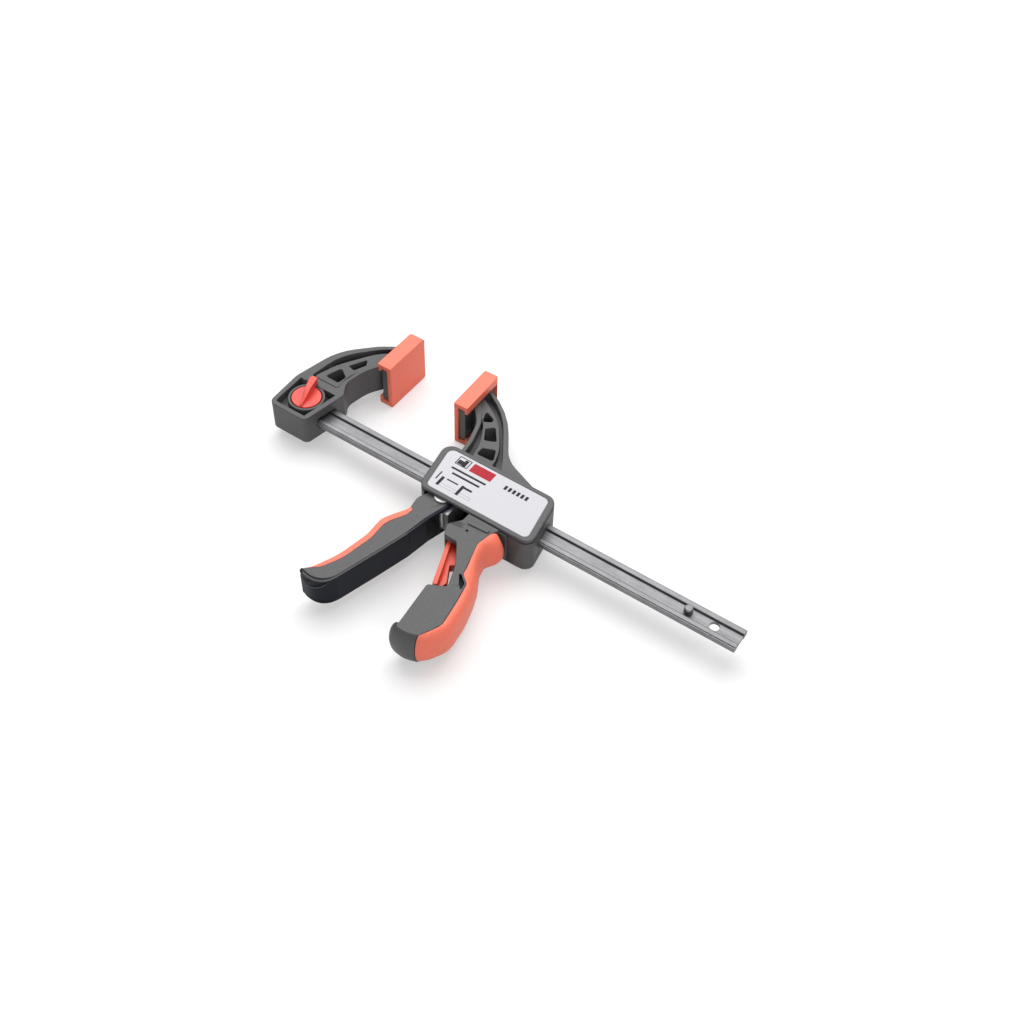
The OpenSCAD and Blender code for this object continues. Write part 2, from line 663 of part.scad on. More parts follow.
bead_corners = [
    lv(-30, -40, 0), lv(tip_a - bead_w + 1.4, -40, 0), lv(tip_a - bead_w - 1, 13.4 - bead_w, 15),
    lv(64, 13 - bead_w, 78), lv(38, 12.3 - bead_w, 28), lv(20, 9.9 - bead_w, 28),
    lv(3, 9.6 - bead_w, 0), lv(-30, 9.6 - bead_w, 0)
];

// Smile-shaped hollow in the tip, close under the upper face
module tip_hollow() {
    smile_r = 8;
    top = cheek_in + 0.2;
    translate([pivot[0], pivot[1], 0]) rotate([0, 0, -lever_lean]) intersection() {
        translate([-2.6, -tip_a - 9, top + 4]) rotate([-90, 0, 0]) cylinder(r = smile_r, h = 12);
        block(-20, 20, -tip_a - 10, 4 - tip_a, 0, top);
    }
}

// Both broad faces lie a little below the bead that runs along the edge
module lever_faces() {
    for (side = [0, 1]) mirror([0, 0, side]) slab(bead_corners, lever_t/2 - bead_h, big);
}

module squeeze_lever() {
    color(plastic) on_carriage() difference() {
        slab(lever_corners, -lever_t/2, lever_t/2);
        lever_faces();
        slab(inlay_corners, -big, big);
        slab(channel_corners, -cheek_in, cheek_in);
        tip_hollow();
        rod(pivot, rivet_d/2 + pivot_fit, -big, big);
        rod(push_at, push_d/2, -big, push_top + hair);
    }
}

// Soft inlay along the fingers' side
module lever_inlay() {
    color(orange) on_carriage() difference() {
        intersection() {
            slab(lever_corners, -lever_t/2, lever_t/2);
            slab(inset(inlay_corners, hair), -big, big);
        }
        lever_faces();
    }
}

// Pin that pushes the drive plate, pressed in from below
module push_pin() {
    color(steel) on_carriage() rod(push_at, push_d/2, 0.4 - lever_t/2, push_top);
}

// Rivet through the cheeks and the body's lug, with a flat head on each side
module lever_rivet() {
    head = 0.85;
    face = lever_t/2 + 0.05;
    color(zinc) on_carriage() translate([pivot[0], pivot[1], 0]) rotate_extrude() polygon([
        [0, -face - head], [rivet_head_d/2 - 0.4, -face - head], [rivet_head_d/2, 0.4 - face - head],
        [rivet_head_d/2, -face], [rivet_d/2, -face], [rivet_d/2, face], [rivet_head_d/2, face],
        [rivet_head_d/2, face + head - 0.4], [rivet_head_d/2 - 0.4, face + head], [0, face + head]]);
}

// ---- plates and springs round the bar ----
drive_r = bar_w/2 + 1.8;
drive_long = partition_x - drive_x - plate_t - 0.2;

// Face of the brake plate that looks away from the fixed jaw, at height y
function brake_face(y) = fulcrum[0] + plate_t*cos(brake_tilt)
    - (y - fulcrum[1] - plate_t*sin(brake_tilt))*tan(brake_tilt);

brake_long = spring_seat - brake_face(spring_y - brake_spring_r - brake_wire/2) - 0.2;

// Steel plate that grips the bar and pushes it along while the lever is squeezed
module drive_plate() {
    color(steel) on_carriage() difference() {
        block(drive_x, drive_x + plate_t, drive_bottom, plate_top, -plate_w/2, plate_w/2);
        block(0, big, -slot_w/2, slot_w/2, -slot_t/2, slot_t/2);
    }
}

module drive_spring() {
    color(steel) on_carriage() translate([drive_x + plate_t + 0.1, 0, 0])
        coil(drive_r, drive_wire, drive_long, drive_turns);
}

// Leaning steel plate that locks the bar until the release lever straightens it
module brake_plate() {
    low = (-fulcrum[1] - bar_w/2 - bar_fit - plate_t*sin(brake_tilt))/cos(brake_tilt);
    high = (-fulcrum[1] + bar_w/2 + bar_fit)/cos(brake_tilt);
    color(steel) on_carriage() translate([fulcrum[0], fulcrum[1], 0]) rotate([0, 0, brake_tilt])
        difference() {
            block(0, plate_t, tail_y - fulcrum[1], plate_top - fulcrum[1] - 0.4, -plate_w/2, plate_w/2);
            block(-1, plate_t + 1, low, high, -slot_t/2, slot_t/2);
        }
}

module brake_spring() {
    color(steel) on_carriage() translate([spring_seat - 0.1 - brake_long, spring_y, 0])
        coil(brake_spring_r, brake_wire, brake_long, brake_turns);
}

// ---- pistol grip ----
grip_half = grip_t/2;
grip_y = -grip_l;
thumb_top = -24.6;
grip_end = [[79.2, grip_y + 1.4, 4.6], [92, grip_y - 0.3, 25]];
grip_back = [
    [105, grip_y + 6, 15], [112.8, grip_y + 22, 18], [109.8, -86, 60],
    [103.3, -64.8, 30], [94.4, -50, 22], [92.8, -41.8, 7],
    [92.6 + thumb_reach, -34.6, 4], [91.8 + thumb_reach, -28, 5]
];
grip_corners = [
    [neck_x0, -23.2, 0.3], [neck_x0 - 0.2, -30, 3], [59.6, -38.6, 2.5], [63.6, -46.9, 0.8],
    [73.9, -47.3, 3], [84.8, -63.5, 30], [90.8, -80.3, 2.5], [78.9, -86.3, 2.5],
    [82.6, grip_y + 7.4, 1], [79.4, grip_y + 7.6, 1.4], each grip_end, each grip_back, [97, -23.2, 0.3]
];
mould_corners = [
    [88, -29.8, 3], [92.6 - mould_t, -41, 9], [98.8 - mould_t, -62, 12], [99.4 - mould_t, -66.4, 2],
    [106.2 - mould_t, -71.6, 4], [109.2 - mould_t, -86, 40], [112.5 - mould_t, grip_y + 22, 12],
    [98.8, grip_y + 7.4, 0], [98.8, -200, 0], [200, -200, 0], [200, 0, 0], [91.2, 0, 0], [91.2, -23.4, 0]
];
bumper_corners = [
    [50, grip_y + 8.2, 0], [50, -200, 0], [98.8, -200, 0], [98.8, grip_y + 7.4, 0],
    [90, grip_y + 4.2, 14], [82.4, grip_y + 5, 1.5], [81.8, grip_y + 8.2, 0]
];

nose = [brake_face(nose_y) + (nose_r + 0.1)/cos(brake_tilt), nose_y];

// Hollow for the brake plate's tail and for the release lever's arm
hollow_corners = [
    [nose[0] + nose_r + 0.5, 0, 0], [fulcrum[0] - 2.2, 0, 0], [fulcrum[0] - 2.2, -25.4, 1],
    [68.4, -25.4, 2], [68.4, -37.8, 2], [62.4, -39, 1], [65.1, -47.6, 0], [74, -52, 0],
    [84.6, -43, 2], [nose[0] + nose_r + 0.5, -38, 3]
];
// Narrow slot in which the release lever's web swings
web_slot_corners = [
    [72, -41, 0], [72, -83, 0], [84, -82.5, 1], [91.2, -78.5, 2], [91.2, -72, 4],
    [85.6, -58, 4], [84.2, -41, 1]
];

// The corners moved inwards by d, with no corner ever quite sharp
function soft(c, d) = [for (p = inset(c, d)) [p[0], p[1], max(0.3, p[2])]];

// Triangles that fill an outline of points p, cut off corner by corner
function left_of(a, b, c) = (b[0] - a[0])*(c[1] - a[1]) - (b[1] - a[1])*(c[0] - a[0]);
function covers(a, b, c, q) = left_of(a, b, q) >= 0 && left_of(b, c, q) >= 0 && left_of(c, a, q) >= 0;
function is_ear(p, ids, k) =
    let (n = len(ids), i = (k + n - 1) % n, j = (k + 1) % n,
         a = p[ids[i]], b = p[ids[k]], c = p[ids[j]])
    left_of(a, b, c) > 0 &&
    len([for (m = [0:n - 1]) if (m != i && m != j && m != k && covers(a, b, c, p[ids[m]])) 1]) == 0;
function first_ear(p, ids, k = 0) =
    (k >= len(ids) - 1 || is_ear(p, ids, k)) ? k : first_ear(p, ids, k + 1);
function fill(p, ids) = len(ids) < 4 ? [ids] :
    let (n = len(ids), k = first_ear(p, ids))
    concat([[ids[(k + n - 1) % n], ids[k], ids[(k + 1) % n]]],
        fill(p, [for (m = [0:n - 1]) if (m != k) ids[m]]));

// Body with rounded edges: each layer is [z, distance inwards], from the lowest up,
// and the lowest is moved inwards as far as the highest
module pillow(c, layers) {
    rings = [for (l = layers) [for (p = outline(soft(c, l[1]))) [p[0], p[1], l[0]]]];
    m = len(rings[0]);
    n = len(rings);
    cap = fill(rings[0], [for (k = [0:m - 1]) k]);
    walls = [for (j = [0:n - 2]) for (k = [0:m - 1])
        let (a = j*m + k, b = j*m + (k + 1) % m) each [[a, a + m, b], [b, a + m, b + m]]];
    polyhedron([for (ring = rings) each ring],
        concat(walls, cap, [for (t = cap) [for (i = [2:-1:0]) t[i] + (n - 1)*m]]), convexity = 8);
}

// Layers of a quarter-round edge of radius r, on both faces at +half and -half
function edge_layers(half, r, m = 4) = concat(
    [for (k = [0:m]) let (a = 90*k/m) [r - half - r*cos(a), r - r*sin(a)]],
    [for (k = [m:-1:0]) let (a = 90*k/m) [half - r + r*cos(a), r - r*sin(a)]]);

module grip_core() {
    color(plastic) on_carriage() difference() {
        union() {
            block(neck_x0, neck_x1, -24, neck_y, -neck_half, neck_half);
            difference() {
                slab(grip_corners, -grip_half, grip_half);
                slab(mould_corners, -big, big);
                slab(bumper_corners, -big, big);
            }
            // Raised bar beside the housing
            slab([[70.4, -31, 1.5], [86.6, -30, 1.5], [87, -26.6, 1.5], [70.4, -27.6, 1.5]],
                grip_half - eps, grip_half + 0.9);
        }
        slab(hollow_corners, -cavity_half, cavity_half);
        slab(web_slot_corners, -trigger_web/2 - 0.4, trigger_web/2 + 0.4);
        // Drain slot beside the overmould
        slab([[91.2, -68, 0.7], [96, -74.8, 4], [98.6, -77.6, 0.6], [99.4, -76.8, 0.5],
            [98.5, -72.4, 2.5], [92.2, -67.2, 0.7]], grip_half - 3, big);
        for (p = [screw_at[2], screw_at[3]]) {
            rod(p, screw_d/2 + 0.1, -big, big);
            rod(p, post_r, 0, big);
        }
        rod(release_at, trigger_pin_d/2, -big, grip_half - 1.6);
        rod(release_at, 0.9, 0, big);
    }
}

// Soft back of the grip, with the thumb rest at its top
module grip_overmould() {
    color(orange) on_carriage() intersection() {
        pillow([[70, thumb_top, 1], [70, grip_y + 2, 4], grip_end[1], each grip_back, [94.8, thumb_top, 5]],
            edge_layers(grip_half, 3.4));
        difference() {
            slab(inset(mould_corners, hair), -big, big);
            slab(inset(hollow_corners, hair), -cavity_half, cavity_half);
        }
    }
}

// Bumper round the grip's tip
module grip_bumper() {
    color(plastic) on_carriage() intersection() {
        pillow([each grip_end, [120, grip_y + 2, 4], [120, -90, 2], [79.4, -90, 2]],
            edge_layers(grip_half + bumper_proud, 2.6));
        slab(inset(bumper_corners, hair), -big, big);
    }
}

// ---- release lever ----
module release_lever() {
    arm_y = -31.2;
    right = nose[0] + nose_r;
    half = trigger_web/2;
    color(orange) on_carriage() difference() {
        union() {
            slab([[63.4, -40.8, 1.2], [78.4, -80.4, 1], [81.4, -79.4, 1], [66.6, -40.8, 1]],
                -trigger_w/2, trigger_w/2);
            slab([[66, -42, 1], [79.8, -78.2, 0.5], [82.6, -78.2, 1], [84.2, -72.4, 1.5],
                [77, -59.3, 1], [80.6, -57.3, 0.8], [80, -40, 1], [74, -38, 1]], -half, half);
            slab([[74.1, -41.4, 0.5], [85.6, -38.6, 4], [right, -34, 2], [right, arm_y, 0],
                [74.1, arm_y, 0]], -half, half);
            block(nose[0], right, arm_y - eps, nose[1], -half, half);
            rod(nose, nose_r, -half, half);
            rod(release_at, trigger_pin_d/2 + 2.5, -cavity_half + 0.3, cavity_half - 0.3);
        }
        rod(release_at, trigger_pin_d/2 + pivot_fit, -big, big);
    }
}

module release_pin() {
    color(steel) on_carriage() rod(release_at, trigger_pin_d/2, 0.6 - grip_half, grip_half - 1.8);
}

echo(drive_spring_gap = self_gap(drive_r, drive_wire, drive_long, drive_turns));
echo(brake_spring_gap = self_gap(brake_spring_r, brake_wire, brake_long, brake_turns));

bar();
stop_pin();
fixed_jaw();
fixed_pad();
knob();
lock_spindle();
spindle_ring();
knob_washer();
carriage_body();
housing_cover();
label_plate();
housing_screws();
movable_pad();
grip_core();
grip_overmould();
grip_bumper();
squeeze_lever();
lever_inlay();
push_pin();
lever_rivet();
drive_plate();
drive_spring();
brake_plate();
brake_spring();
release_lever();
release_pin();
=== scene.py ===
import json
import math

import bmesh
import bpy
from mathutils import Matrix, Vector
from mathutils.bvhtree import BVHTree
from mathutils.geometry import intersect_line_line_2d, intersect_point_line
from mathutils.kdtree import KDTree


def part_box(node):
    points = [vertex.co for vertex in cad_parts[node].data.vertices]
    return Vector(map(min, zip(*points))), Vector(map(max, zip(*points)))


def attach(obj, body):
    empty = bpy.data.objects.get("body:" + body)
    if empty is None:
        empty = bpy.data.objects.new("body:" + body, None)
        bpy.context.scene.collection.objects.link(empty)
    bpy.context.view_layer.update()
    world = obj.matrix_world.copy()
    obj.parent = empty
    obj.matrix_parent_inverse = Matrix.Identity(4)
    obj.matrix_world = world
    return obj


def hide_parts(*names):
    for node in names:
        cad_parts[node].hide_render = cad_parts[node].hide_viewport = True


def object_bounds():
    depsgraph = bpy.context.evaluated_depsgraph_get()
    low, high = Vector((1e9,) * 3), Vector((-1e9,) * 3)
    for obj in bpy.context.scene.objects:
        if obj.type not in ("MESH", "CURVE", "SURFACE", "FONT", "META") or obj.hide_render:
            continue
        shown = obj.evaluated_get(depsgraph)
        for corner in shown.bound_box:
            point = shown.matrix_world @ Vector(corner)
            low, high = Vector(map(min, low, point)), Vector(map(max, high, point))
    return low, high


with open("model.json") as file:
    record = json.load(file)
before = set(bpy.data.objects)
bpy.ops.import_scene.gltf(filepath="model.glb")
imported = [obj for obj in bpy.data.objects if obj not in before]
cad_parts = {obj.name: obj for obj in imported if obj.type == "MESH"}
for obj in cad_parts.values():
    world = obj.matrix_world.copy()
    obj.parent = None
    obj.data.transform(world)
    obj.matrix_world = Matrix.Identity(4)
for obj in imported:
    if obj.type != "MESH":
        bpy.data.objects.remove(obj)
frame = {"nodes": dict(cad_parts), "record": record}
nodes = frame["nodes"]
cad_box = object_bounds()

MM = 0.001

# ---- Camera ----
# It stands where the photographer stood: above the handles, looking down along the bar.
# Its place, turn and lens were fitted to straight edges and corners of the clamp.
SENSOR = 36.0
FOCAL_PIXELS = 1370.4
PICTURE_PIXELS = 1024
CAMERA_AT = Vector((467.2, -573.5, 711.5)) * MM
AZIMUTH, ELEVATION, ROLL = (math.radians(a) for a in (32.94, 49.69, 1.99))
CLIP_NEAR, CLIP_FAR = 0.05, 20


def camera_axes():
    back = Vector((math.sin(AZIMUTH) * math.cos(ELEVATION),
                   -math.cos(AZIMUTH) * math.cos(ELEVATION), math.sin(ELEVATION)))
    right = Vector((math.cos(AZIMUTH), math.sin(AZIMUTH), 0))
    up = back.cross(right)
    rolled_right = right * math.cos(ROLL) + up * math.sin(ROLL)
    rolled_up = up * math.cos(ROLL) - right * math.sin(ROLL)
    return Matrix((rolled_right, rolled_up, back)).transposed()


camera = bpy.data.objects.new("camera", bpy.data.cameras.new("camera"))
bpy.context.scene.collection.objects.link(camera)
camera.data.sensor_width = SENSOR
camera.data.lens = FOCAL_PIXELS / PICTURE_PIXELS * SENSOR
camera.data.clip_start = CLIP_NEAR
camera.data.clip_end = CLIP_FAR
camera.matrix_world = Matrix.Translation(CAMERA_AT) @ camera_axes().to_4x4()
bpy.context.scene.camera = camera


# ---- Studio ----
# A white sheet that runs on to the horizon, under two wide soft boxes and a white room. The
# camera and reflections see the sheet nearly white, and the clamp is lit at a plain level.
FLOOR_SIZE = 12.0
FLOOR_Z = cad_box[0].z
SHEET_WHITE = 0.60
SHADE_SHARE = 0.62
ROOM_FILL = 0.44


def add_node(tree, kind, **settings):
    made = tree.nodes.new(kind)
    for key, value in settings.items():
        setattr(made, key, value)
    return made


def linked(tree, kind, *sockets):
    """A node whose inputs are linked, in order, to these outputs of others."""
    made = add_node(tree, kind)
    for i, socket in enumerate(sockets):
        tree.links.new(socket, made.inputs[i])
    return made


def calculate(tree, operation, a, b=None, c=None):
    made = add_node(tree, "ShaderNodeMath", operation=operation)
    for i, value in enumerate((a, b, c)):
        if value is None:
            continue
        if isinstance(value, (int, float)):
            made.inputs[i].default_value = value
        else:
            tree.links.new(value, made.inputs[i])
    return made.outputs[0]


def blank_material(name):
    material = bpy.data.materials.new(name)
    material.use_nodes = True
    material.node_tree.nodes.clear()
    return material, material.node_tree


def make_sheet_material():
    material, tree = blank_material("white_sheet")
    path = add_node(tree, "ShaderNodeLightPath")
    seen = calculate(tree, "MAXIMUM", path.outputs["Is Camera Ray"],
                     path.outputs["Is Glossy Ray"])
    seen = calculate(tree, "MAXIMUM", seen, path.outputs["Is Transmission Ray"])
    lit = add_node(tree, "ShaderNodeBsdfDiffuse")
    lit.inputs["Color"].default_value = (SHEET_WHITE, SHEET_WHITE, SHEET_WHITE, 1)
    shown = add_node(tree, "ShaderNodeBsdfDiffuse")
    shown.inputs["Color"].default_value = (SHADE_SHARE, SHADE_SHARE, SHADE_SHARE, 1)
    glow = add_node(tree, "ShaderNodeEmission")
    glow.inputs["Strength"].default_value = 1 - SHADE_SHARE
    both = linked(tree, "ShaderNodeAddShader", shown.outputs[0], glow.outputs[0])
    mix = linked(tree, "ShaderNodeMixShader", seen, lit.outputs[0], both.outputs[0])
    linked(tree, "ShaderNodeOutputMaterial", mix.outputs[0])
    return material


def make_floor():
    shape = bmesh.new()
    bmesh.ops.create_grid(shape, x_segments=1, y_segments=1, size=FLOOR_SIZE / 2,
                          matrix=Matrix.Translation((0, 0, FLOOR_Z)))
    mesh = bpy.data.meshes.new("floor")
    shape.to_mesh(mesh)
    shape.free()
    mesh.materials.append(make_sheet_material())
    floor = bpy.data.objects.new("floor", mesh)
    bpy.context.scene.collection.objects.link(floor)


def make_room():
    world = bpy.data.worlds.new("room")
    bpy.context.scene.world = world
    world.use_nodes = True
    tree = world.node_tree
    tree.nodes.clear()
    path = add_node(tree, "ShaderNodeLightPath")
    fill = add_node(tree, "ShaderNodeBackground")
    fill.inputs["Strength"].default_value = ROOM_FILL
    shown = add_node(tree, "ShaderNodeBackground")
    shown.inputs["Color"].default_value = (1, 1, 1, 1)
    shown.inputs["Strength"].default_value = 1.0
    mix = linked(tree, "ShaderNodeMixShader", path.outputs["Is Camera Ray"],
                 fill.outputs[0], shown.outputs[0])
    linked(tree, "ShaderNodeOutputWorld", mix.outputs[0])


make_floor()
make_room()

MIDDLE = (cad_box[0] + cad_box[1]) / 2
# Each soft box: where it hangs from the clamp's middle, its width and height, and its watts
SOFT_BOXES = {"soft_box_above": (Vector((-0.40, 0.62, 1.2)), (1.7, 1.4), 25),
              "soft_box_right": (Vector((1.2, -1.0, 0.9)), (0.9, 0.9), 9)}


def soft_box(name, off_middle, extent, power):
    lamp = bpy.data.lights.new(name, "AREA")
    lamp.shape = "RECTANGLE"
    lamp.size, lamp.size_y = extent
    lamp.energy = power
    holder = bpy.data.objects.new(name, lamp)
    bpy.context.scene.collection.objects.link(holder)
    holder.location = MIDDLE + off_middle
    holder.rotation_euler = (holder.location - MIDDLE).to_track_quat("Z", "Y").to_euler()


for box_name, placing in SOFT_BOXES.items():
    soft_box(box_name, *placing)

bpy.context.scene.view_settings.view_transform = "Standard"

# ---- Fixed jaw ----
# The head and its curved arm are one moulding of glass-filled nylon. The tool that shaped it
# left every edge slightly rounded and the faces finely grained.
MERGE = 2e-6
FLAT = math.radians(0.5)
SHARP = math.radians(24)
CORNER = math.radians(32)
EDGE_RADIUS = 0.5 * MM
EDGE_STEPS = 2


def new_piece(name, shape):
    mesh = bpy.data.meshes.new(name)
    shape.to_mesh(mesh)
    shape.free()
    piece = bpy.data.objects.new(name, mesh)
    bpy.context.scene.collection.objects.link(piece)
    return piece


def body_of(node):
    bodies = frame["record"]["behaviour"]["bodies"]
    return next(body for body, held in bodies.items() if node in held)


def stand_for(piece, node, material):
    """The piece is shown in the node's place and moves with its body."""
    piece.data.materials.clear()
    piece.data.materials.append(material)
    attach(piece, body_of(node))
    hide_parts(node)


def merged_copy(node):
    """A copy of a node with its loose triangles joined into whole faces."""
    shape = bmesh.new()
    shape.from_mesh(nodes[node].data)
    bmesh.ops.remove_doubles(shape, verts=shape.verts, dist=MERGE)
    bmesh.ops.dissolve_limit(shape, angle_limit=FLAT, verts=shape.verts, edges=shape.edges)
    return shape


def is_sharp(edge):
    return len(edge.link_faces) == 2 and edge.calc_face_angle(0) > SHARP


# How the room for a rounding is found. The first three are multiples of its radius: how close
# together the spots on the edges lie, how far an edge is followed, how far off spots count.
SPOT_PITCH = 0.6
FOLLOWED = 6
LOOKED_AT = 2.3
# A spot lies across a gap, and not round a corner, if the way along the edges is so much longer
DETOUR = 1.9
# The shares that a rounding may take of a gap, and of the radius of a bend in its edge
GAP_SHARE = 0.42
BEND_SHARE = 0.7
STRAIGHT = 0.05
# The room may grow by this share of the way from one edge to the next, over so many edges
GROWTH = 0.4
GROWTH_EDGES = 6
OUT_OF_REACH = 1.0


def along_edges(start, reach):
    """How far each corner near an edge lies from its middle, measured along sharp edges."""
    half = start.calc_length() / 2
    far = {v: half for v in start.verts}
    queue = list(start.verts)
    while queue:
        v = queue.pop()
        for edge in v.link_edges:
            if not is_sharp(edge):
                continue
            other = edge.other_vert(v)
            total = far[v] + edge.calc_length()
            if total < reach and total < far.get(other, reach):
                far[other] = total
                queue.append(other)
    return far


def room_at_gaps(edge, radius, spots, tree):
    """The room beside the other sharp edges that lie near this one."""
    middle = (edge.verts[0].co + edge.verts[1].co) / 2
    far = along_edges(edge, FOLLOWED * radius)
    room = radius
    for _, i, gap in tree.find_range(middle, LOOKED_AT * radius):
        _, other, share = spots[i]
        if other is edge:
            continue
        a, b = other.verts
        length = other.calc_length()
        path = min(far.get(a, OUT_OF_REACH) + share * length,
                   far.get(b, OUT_OF_REACH) + (1 - share) * length)
        if path > DETOUR * gap:
            room = min(room, GAP_SHARE * gap)
    return room


def room_at_bends(edge, room):
    """The room inside the bends where the edge meets the next ones of its line."""
    for v in edge.verts:
        line = [e for e in v.link_edges if is_sharp(e)]
        if len(line) != 2:
            continue
        other = line[0] if line[1] is edge else line[1]
        bend = (v.co - edge.other_vert(v).co).angle(other.other_vert(v).co - v.co)
        if STRAIGHT < bend < CORNER:
            step = (edge.calc_length() + other.calc_length()) / 2
            room = min(room, BEND_SHARE * step / bend)
    return room


def room_for_rounding(shape, radius):
    """The largest radius that each sharp edge has room for, up to the one that is wanted."""
    sharp = [e for e in shape.edges if is_sharp(e)]
    spots = []
    for edge in sharp:
        count = max(1, math.ceil(edge.calc_length() / (SPOT_PITCH * radius)))
        a, b = edge.verts
        spots += [(a.co.lerp(b.co, (i + 0.5) / count), edge, (i + 0.5) / count)
                  for i in range(count)]
    tree = KDTree(len(spots))
    for i, spot in enumerate(spots):
        tree.insert(spot[0], i)
    tree.balance()
    room = {edge: room_at_bends(edge, room_at_gaps(edge, radius, spots, tree))
            for edge in sharp}
    for _ in range(GROWTH_EDGES):
        for edge in sharp:
            for v in edge.verts:
                for other in v.link_edges:
                    if other in room:
                        step = (edge.calc_length() + other.calc_length()) / 2
                        room[edge] = min(room[edge], room[other] + GROWTH * step)
    return room


def crossings(corners, normal):
    """Points near which the outline of a flat face crosses itself."""
    drop = max(range(3), key=lambda i: abs(normal[i]))
    flat = [Vector([c[i] for i in range(3) if i != drop]) for c in corners]
    count = len(flat)
    sides = sorted((min(flat[i].x, flat[(i + 1) % count].x), i) for i in range(count))
    found = []
    for k, (_, i) in enumerate(sides):
        a, b = flat[i], flat[(i + 1) % count]
        for start, j in sides[k + 1:]:
            if start > max(a.x, b.x):
                break
            c, d = flat[j], flat[(j + 1) % count]
            beside = (i - j) % count in (1, count - 1)
            if beside or min(c.y, d.y) > max(a.y, b.y) or max(c.y, d.y) < min(a.y, b.y):
                continue
            apart = min((a - d).length, (b - c).length) > MERGE
            if apart and intersect_line_line_2d(a, b, c, d):
                found += [corners[i], corners[j]]
    return found


# A rounding is at fault where its surface lies more than this share of the radius off the plain
# one, or the cosine of the turn between them is less than this. Slivers are passed over.
OFF_PLAIN = 0.5
TURNED = 0.15
SLIVER = 1e-4 * MM ** 2


def folds(piece, plain, radius):
    """Places where the rounded piece folds over itself or leaves the plain surface."""
    rounded = piece.evaluated_get(bpy.context.evaluated_depsgraph_get())
    mesh = rounded.to_mesh()
    mesh.calc_loop_triangles()
    found, crossed = [], set()
    for face in mesh.polygons:
        if len(face.vertices) > 4:
            here = crossings([mesh.vertices[i].co.copy() for i in face.vertices], face.normal)
            if here:
                crossed.add(face.index)
                found += here
    for part in mesh.loop_triangles:
        if part.polygon_index in crossed or part.area < SLIVER:
            continue
        corners = [mesh.vertices[i].co.copy() for i in part.vertices]
        _, normal, _, gap = plain.find_nearest((corners[0] + corners[1] + corners[2]) / 3)
        if gap > OFF_PLAIN * radius or part.normal.dot(normal) < TURNED:
            found += corners
    rounded.to_mesh_clear()
    return found


# An edge is rounded if its room is this share of the radius. It goes back to plain where a fold
# lies nearer to it than so many radii, and folds are looked for a few times over.
ENOUGH = 0.9
FOLD_LOOK = 1.5
FOLD_NEAR = 1.2
TRIES = 7
FACE_WEIGHT = 80


def softened(name, node, radius=EDGE_RADIUS, steps=EDGE_STEPS):
    """A copy of a node with each edge rounded that has room for it."""
    shape = merged_copy(node)
    plain = BVHTree.FromBMesh(shape)
    weight = shape.edges.layers.float.new("bevel_weight_edge")
    room = room_for_rounding(shape, radius)
    shape.edges.index_update()
    for edge, most in room.items():
        edge[weight] = 1 if most > ENOUGH * radius else 0
    ends = [(edge.index, edge.verts[0].co.copy(), edge.verts[1].co.copy()) for edge in room]
    for face in shape.faces:
        face.smooth = True
    piece = new_piece(name, shape)
    rounding = piece.modifiers.new("rounding", "BEVEL")
    rounding.limit_method = "WEIGHT"
    rounding.offset_type = "OFFSET"
    rounding.width = radius
    rounding.segments = steps
    rounding.profile = 0.5
    rounding.use_clamp_overlap = False
    rounding.miter_outer = "MITER_ARC"
    weights = piece.data.attributes["bevel_weight_edge"].data
    for _ in range(TRIES):
        found = folds(piece, plain, radius)
        if not found:
            break
        tree = KDTree(len(found))
        for i, spot in enumerate(found):
            tree.insert(spot, i)
        tree.balance()
        for i, a, b in ends:
            look = (a - b).length / 2 + FOLD_LOOK * radius
            for spot, _, _ in tree.find_range((a + b) / 2, look):
                near, share = intersect_point_line(spot, a, b)
                near = a.lerp(b, min(max(share, 0), 1))
                if (near - spot).length < FOLD_NEAR * radius:
                    weights[i].value = 0
                    break
        piece.data.update_tag()
    for i, _, _ in ends:
        if weights[i].value == 0:
            piece.data.edges[i].use_edge_sharp = True
    shading = piece.modifiers.new("shading", "WEIGHTED_NORMAL")
    shading.mode = "FACE_AREA"
    shading.weight = FACE_WEIGHT
    shading.keep_sharp = True
    return piece


def noise(tree, vector, scale, detail, roughness=0.5):
    """The scale is per metre, so that 1000 gives spots of about a millimetre."""
    made = add_node(tree, "ShaderNodeTexNoise")
    made.inputs["Detail"].default_value = detail
    made.inputs["Roughness"].default_value = roughness
    tree.links.new(vector, made.inputs["Vector"])
    if isinstance(scale, bpy.types.NodeSocket):
        tree.links.new(scale, made.inputs["Scale"])
    else:
        made.inputs["Scale"].default_value = scale
    return made.outputs["Fac"]


def swayed(tree, value, share, base):
    """The base, moved up and down by this share of a noise's sway about its middle."""
    off_middle = calculate(tree, "SUBTRACT", value, 0.5)
    return calculate(tree, "MULTIPLY_ADD", off_middle, share, base)


def spread(tree, value, low, high, out_low, out_high):
    made = add_node(tree, "ShaderNodeMapRange")
    tree.links.new(value, made.inputs["Value"])
    for socket, number in zip(("From Min", "From Max", "To Min", "To Max"),
                              (low, high, out_low, out_high)):
        made.inputs[socket].default_value = number
    return made.outputs["Result"]


# The Mix node's colour sockets go by place, because sockets of other kinds have the same names
MIX_SHARE, MIX_A, MIX_B, MIX_OUT = 0, 6, 7, 2


def mixed(tree, share, a, b):
    made = add_node(tree, "ShaderNodeMix", data_type="RGBA")
    for place, value in ((MIX_SHARE, share), (MIX_A, a), (MIX_B, b)):
        if isinstance(value, bpy.types.NodeSocket):
            tree.links.new(value, made.inputs[place])
        elif isinstance(value, (int, float)):
            made.inputs[place].default_value = value
        else:
            made.inputs[place].default_value = (*value, 1)
    return made.outputs[MIX_OUT]


